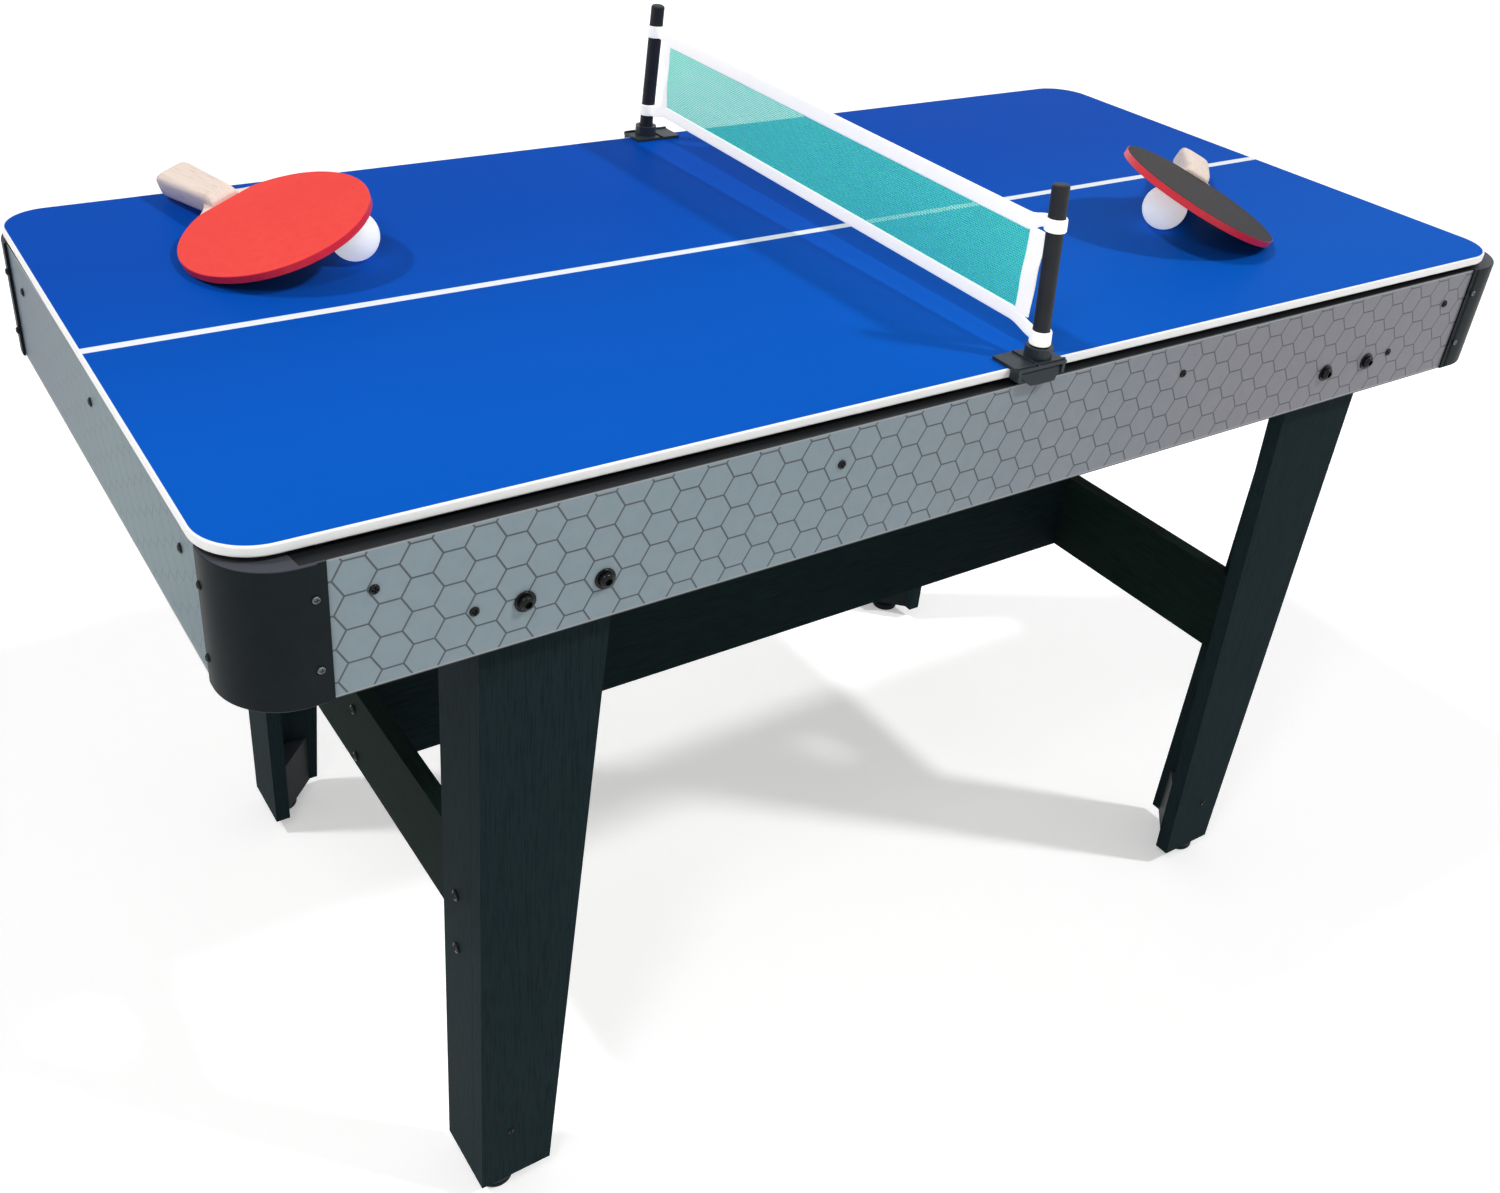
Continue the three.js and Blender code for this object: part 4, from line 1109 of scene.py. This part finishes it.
def sanded_basswood():
    """Unvarnished wood: pale and matt, fine grain along the handle, the bat's own x axis."""
    material, tree = start_finish("sanded_basswood")
    own_place = add_node(tree, "Attribute", attribute_name="own_place").outputs["Vector"]
    stretch = {0: own_place, 1: Vector((1 / GRAIN_STRETCH, 1, 1))}
    place = add_node(tree, "VectorMath", stretch, operation="MULTIPLY")
    size = {"Vector": place, "Scale": 1 / (WOOD_FIBRE_MM * MM)}
    fibres = add_node(tree, "TexNoise", {**NOISE, **size})
    wood = mottled(tree, place, WOOD_STREAK_MM, "E6D3C6", "FBEADF", detail=5)
    colour = soft_change(tree, fibres, FIBRE_STEP, "D8C1B0", wood)
    return end_finish(material, satin(0.6, 0.15), colour, fibres, 0.05, 0.3)


basswood = sanded_basswood()
# Vulcanised rubber sheets: a full, matt red and a soft black that never looks wet.
red_rubber = speckled(
    "vulcanised_rubber_red", satin(0.55, 0.1, 1.52), "EC413C", "F84F48", RUBBER_CLOUD_MM, 0.03
)
black_rubber = speckled(
    "vulcanised_rubber_black", satin(0.6, 0.06, 1.52), "242122", "353233", RUBBER_CLOUD_MM, 0.03
)
# Calendered vinyl tape: a deeper, glossier red line round the blade.
rim_tape = speckled(
    "red_vinyl_rim_tape", satin(0.35, 0.4, 1.52), "F01C2C", "FE3A46", VINYL_CLOUD_MM, 0.02
)
print("Bat finishes ready")

# %% Bat form
BLADE_HALF_MM = (80, 77)
BLADE_THICKNESS_MM = 4
RUBBER_MM = 1
BAT_THICKNESS_MM = BLADE_THICKNESS_MM + 2 * (RUBBER_MM + SEAT_MM)
HANDLE_START_MM, THROAT_END_MM, HANDLE_END_MM = 76, 97, 172
SHOULDER_START_MM = 64  # where the wood leaves the round rim on its way to the handle
HANDLE_WIDTHS_MM = (25, 33)
HANDLE_THICKNESS_MM = 21
HANDLE_SIDES = 32
HANDLE_SQUARENESS = 0.42  # below one, it squares the oval section up
HANDLE_GIRTHS = (  # along the handle, from 0 to 1, and the share of its full girth there
    (0, 0.42), (0.012, 0.62), (0.05, 0.86), (0.12, 1), (0.5, 1), (0.9, 1), (0.97, 0.97),
    (0.99, 0.9), (1, 0.8),
)
BLADE_STEPS = 120
RUBBER_EDGE_MM = 0.4  # height of the sheet's eased edge
RUBBER_EDGE = ((0, 1), (0.15, 0.35), (0.6, 0))  # inward in mm, and the share of that height left
RIM_TAPE_PROFILE = (0.5, -0.2, 0.15)  # its lap over the face, how far it stands out, its rounding
RIM_TAPE_SHORT_MM = 0.25  # how far it ends below each face of the bat
THROAT_LAP_MM = 6  # how far the throat's wood runs back into the blade
THROAT_BEND_SHARE = 0.55  # where the throat's curve bends
THROAT_STEPS = 11
THROAT_SUNK_MM = 0.02  # keeps the throat's faces under the blade's
HANDLE_GAP_MM = 0.6  # between the rubber's straight edge and the handle


def blade_outline(inset, cut_at=math.inf):
    """The blade's ellipse, made smaller by inset and cut straight at cut_at."""
    half_x, half_y = (half - inset for half in BLADE_HALF_MM)
    return [(min(half_x * x, cut_at), half_y * y) for x, y in circle(BLADE_STEPS)]


def rubber_sheet(inner, outer):
    """A rubber sheet with a slightly rounded outer edge and a straight edge at the handle."""
    step = math.copysign(RUBBER_EDGE_MM, outer)
    cut_at = HANDLE_START_MM - SEAT_MM
    layers = [(0, inner)] + [(inset, outer - share * step) for inset, share in RUBBER_EDGE]
    return bar(
        [[(x, y, z) for x, y in blade_outline(inset, cut_at - inset)] for inset, z in layers]
    )


def throat_outline():
    """Plan of the wood that narrows from the blade to the handle."""
    half = BLADE_HALF_MM[1] * math.sqrt(1 - (SHOULDER_START_MM / BLADE_HALF_MM[0]) ** 2)
    neck = HANDLE_WIDTHS_MM[0] / 2
    bend = SHOULDER_START_MM + THROAT_BEND_SHARE * (THROAT_END_MM - SHOULDER_START_MM)
    side = [(SHOULDER_START_MM - THROAT_LAP_MM, half)]
    for t in spread(0, 1, THROAT_STEPS):
        x = (1 - t) ** 2 * SHOULDER_START_MM + 2 * t * (1 - t) * bend + t**2 * THROAT_END_MM
        y = (1 - t) ** 2 * half + 2 * t * (1 - t) * neck + t**2 * neck
        side.append((x, y))
    return [(x, -y) for x, y in side] + side[::-1]


def squared(number):
    """Push a cosine or sine outwards, which turns a circle into a rounded oblong."""
    return math.copysign(abs(number) ** HANDLE_SQUARENESS, number)


def bat_handle():
    """The handle, flared towards its end and eased where the hand meets it."""
    start = HANDLE_START_MM + HANDLE_GAP_MM
    sections = []
    for share, girth in HANDLE_GIRTHS:
        place = start + share * (HANDLE_END_MM - start)
        flare = HANDLE_WIDTHS_MM[0] + share * (HANDLE_WIDTHS_MM[1] - HANDLE_WIDTHS_MM[0])
        width, thickness = flare * (girth if share > 0.5 else 1), HANDLE_THICKNESS_MM * girth
        oblong = [(squared(x) / 2, squared(y) / 2) for x, y in circle(HANDLE_SIDES)]
        sections.append([(place, width * across, thickness * up) for across, up in oblong])
    return bar(sections)


def rim_band():
    """A thin tape over the blade's rim, open at the handle."""
    half = BAT_THICKNESS_MM / 2 - RIM_TAPE_SHORT_MM
    lap, proud, ease = RIM_TAPE_PROFILE
    profile = [(lap, -half), (proud, ease - half), (proud, half - ease), (lap, half)]
    sections = []
    for x, y in circle(BLADE_STEPS):
        point = Vector((BLADE_HALF_MM[0] * x, BLADE_HALF_MM[1] * y))
        if point.x <= SHOULDER_START_MM:
            out = Vector((x / BLADE_HALF_MM[0], y / BLADE_HALF_MM[1])).normalized()
            sections.append(section_at(point, out, profile))
    return bar(sections)


half_blade = BLADE_THICKNESS_MM / 2
wood_form = together(
    prism(blade_outline(0), -half_blade, half_blade),
    prism(throat_outline(), THROAT_SUNK_MM - half_blade, half_blade - THROAT_SUNK_MM),
    bat_handle(),
)
rubber_low, rubber_high = half_blade + SEAT_MM, half_blade + SEAT_MM + RUBBER_MM
print("Bat", HANDLE_END_MM + BLADE_HALF_MM[0], "mm long")

# %% Bats and balls in place
BALL_RADIUS_MM = 20
BALL_SIDES = 48
BALL_STEPS = 32
SEAM_MM = 0.12
BALL_CLOUD_MM = 6
BALL_TILT = math.radians(35)
# The ball's emission is a painted glow, though the ball is no lamp.
BALL_PAINTED_GLOW = 0.44  # stands for light through a thin shell; its strength follows the photograph
BATS = {  # the ball's place, the way the blade slopes, and where the bat leans on the ball
    "left": dict(
        ball=(-370.7, 85.3), downhill=math.radians(179.16), rim_to_ball=128.2,
        beside_ball=-26.1, handle_turn=math.radians(-77.65),
    ),
    "right": dict(
        ball=(331.8, -117.9), downhill=math.radians(-33.13), rim_to_ball=95.9,
        beside_ball=-4.1, handle_turn=math.radians(74.53),
    ),
}
RED_SIDE = {"left": 1, "right": -1}  # 1 where the red rubber lies on top


def bat_place(ball, downhill, rim_to_ball, beside_ball, handle_turn):
    """The matrix that leans a bat on its ball."""
    seat_radius = BALL_RADIUS_MM + SEAT_MM
    lean = 2 * math.atan(seat_radius / rim_to_ball)
    heading = Vector((math.cos(downhill), math.sin(downhill), 0))
    sideways = Vector((-heading.y, heading.x, 0))
    normal = heading * math.sin(lean) + Vector((0, 0, math.cos(lean)))
    slope = heading * math.cos(lean) - Vector((0, 0, math.sin(lean)))
    rim_reach = math.hypot(
        BLADE_HALF_MM[0] * math.cos(handle_turn), BLADE_HALF_MM[1] * math.sin(handle_turn)
    )
    handle_axis = slope * math.cos(handle_turn) + sideways * math.sin(handle_turn)
    middle = Vector((*ball, TOP_THICKNESS_MM)) + heading * rim_to_ball + sideways * beside_ball
    middle -= slope * (rim_reach + SEAT_MM / math.sin(lean))
    middle += normal * BAT_THICKNESS_MM / 2
    turn = Matrix((handle_axis, normal.cross(handle_axis), normal)).transposed().to_4x4()
    return Matrix.Translation(middle) @ turn


def ball_profile():
    """Half a circle from pole to pole, with a shallow seam at the middle."""
    tip = 0.02
    profile = [(tip, -BALL_RADIUS_MM)]
    for step in range(1, BALL_STEPS):
        angle = math.pi * step / BALL_STEPS - math.pi / 2
        radius = BALL_RADIUS_MM - (SEAM_MM if step == BALL_STEPS // 2 else 0)
        profile.append((radius * math.cos(angle), radius * math.sin(angle)))
    return [*profile, (tip, BALL_RADIUS_MM)]


# Moulded celluloid shell: matt white, with light scattered through the thin shell, and an emission
# that is a painted glow, which lights the ball in the bat's shadow.
celluloid = speckled(
    "matt_moulded_celluloid_painted_glow",
    {
        **satin(0.45, 0.35),
        "Subsurface Weight": 1.0, "Subsurface Scale": 0.04, "Subsurface Radius": (1, 0.95, 0.9),
        "Emission Color": "FFFCF4", "Emission Strength": BALL_PAINTED_GLOW,
    },
    "FCFBF9", "FEFEFD", BALL_CLOUD_MM, 0.01,
)
for side, facts in BATS.items():
    place, body, up = ON_TOP @ bat_place(**facts), f"bat_{side}", RED_SIDE[side]
    add_piece(
        f"{body}_wood", wood_form, place, body, basswood,
        [f"{body}_blade"], sharp_degrees=40,
    )
    for colour, sign, rubber in (("red", up, red_rubber), ("black", -up, black_rubber)):
        form = rubber_sheet(sign * rubber_low, sign * rubber_high)
        add_piece(
            f"{body}_{colour}_sheet", form, place, body, rubber,
            [f"{body}_{colour}_rubber"], sharp_degrees=50,
        )
    add_piece(f"{body}_rim_tape", rim_band(), place, body, rim_tape)
    spot = Matrix.Translation((*facts["ball"], TOP_THICKNESS_MM + BALL_RADIUS_MM + SEAT_MM))
    add_piece(
        f"table_tennis_ball_{side}", lathe(ball_profile(), BALL_SIDES),
        ON_TOP @ spot @ Matrix.Rotation(BALL_TILT, 4, "X"),
        f"ball_{side}", celluloid, [f"ball_{side}"],
    )
print("Bats and balls in place")

# %% [markdown]
# ## Floor and light
# The table stands on a plain white floor, which glows a little for the eye alone, so that it
# is white and still keeps the shadow. Two suns from both sides, a lamp near the viewer and an
# even sky give the clear double shadows of a room with several ceiling lamps. The sky is dimmer
# for the light it sheds than for the eye and for reflections, so the background stays white.

# %% Floor
FLOOR_HALF_M = 20
FLOOR_GLOW = 0.35  # what the floor adds for the eye and in reflections; it lights nothing


def seen_directly(tree):
    """1 for what the camera sees itself, in a reflection or through glass, and 0 for light."""
    path = add_node(tree, "LightPath").outputs
    seen = path["Is Camera Ray"]
    for ray in ("Is Glossy Ray", "Is Transmission Ray"):
        seen = add_node(tree, "Math", {0: seen, 1: path[ray]}, operation="MAXIMUM")
    return seen


def make_floor():
    """A large plain plane; it isn't part of the object."""
    mesh = bpy.data.meshes.new("floor")
    low, high = -FLOOR_HALF_M, FLOOR_HALF_M
    corners = [(low, low, 0), (high, low, 0), (high, high, 0), (low, high, 0)]
    mesh.from_pydata(corners, [], [[0, 1, 2, 3]])
    floor = put_in_scene("floor", mesh)
    material, tree = start_finish("matt_white_floor")
    glow = {0: seen_directly(tree), 1: FLOOR_GLOW}
    look = {"Roughness": 0.9, "Specular IOR Level": 0.0, "Emission Color": (1, 1, 1, 1)}
    look["Emission Strength"] = add_node(tree, "Math", glow, operation="MULTIPLY")
    mesh.materials.append(end_finish(material, look, "FAFAFA"))


make_floor()
print("Floor ready")

# %% Light
SKY_LIGHT = 0.3
SUNS = {  # direction towards each sun, and its strength
    "right": ((0.68, -0.62, 1.0), 1.4),
    "left": ((-0.62, 0.3, 1.1), 1.1),
}
SUN_WIDTH_DEGREES = 5
LAMP_PLACE = Vector((-1.2, -0.9, 2.05))
LAMP_AIM = Vector((0.0, 0.0, 0.65))
LAMP_SIZE_M = 0.28
LAMP_WATTS = 6


def make_sky():
    """A white background that sheds a dimmer, even light."""
    world = bpy.data.worlds.new("sky")
    scene.world = world
    world.use_nodes = True
    tree = world.node_tree
    tree.nodes.clear()
    dimming = {"Value": seen_directly(tree), "To Min": SKY_LIGHT, "To Max": 1.0}
    strength = add_node(tree, "MapRange", dimming)
    sky = add_node(tree, "Background", {"Color": (1, 1, 1, 1), "Strength": strength})
    add_node(tree, "OutputWorld", {"Surface": sky})


def add_lamp(name, kind, energy, place, **settings):
    """A lamp of that kind, in place and turned by a matrix."""
    data = bpy.data.lights.new(name, kind)
    data.energy = energy
    for setting, value in settings.items():
        setattr(data, setting, value)
    put_in_scene(name, data, place)


make_sky()
lamp_turn = Matrix.Translation(LAMP_PLACE) @ facing(LAMP_PLACE - LAMP_AIM)
add_lamp("ceiling_lamp", "AREA", LAMP_WATTS, lamp_turn, size=LAMP_SIZE_M)
for name, (direction, strength) in SUNS.items():
    sun_turn = facing(Vector(direction).normalized())
    add_lamp(f"{name}_sun", "SUN", strength, sun_turn, angle=math.radians(SUN_WIDTH_DEGREES))
scene.view_settings.view_transform = "Standard"
print("Light ready")
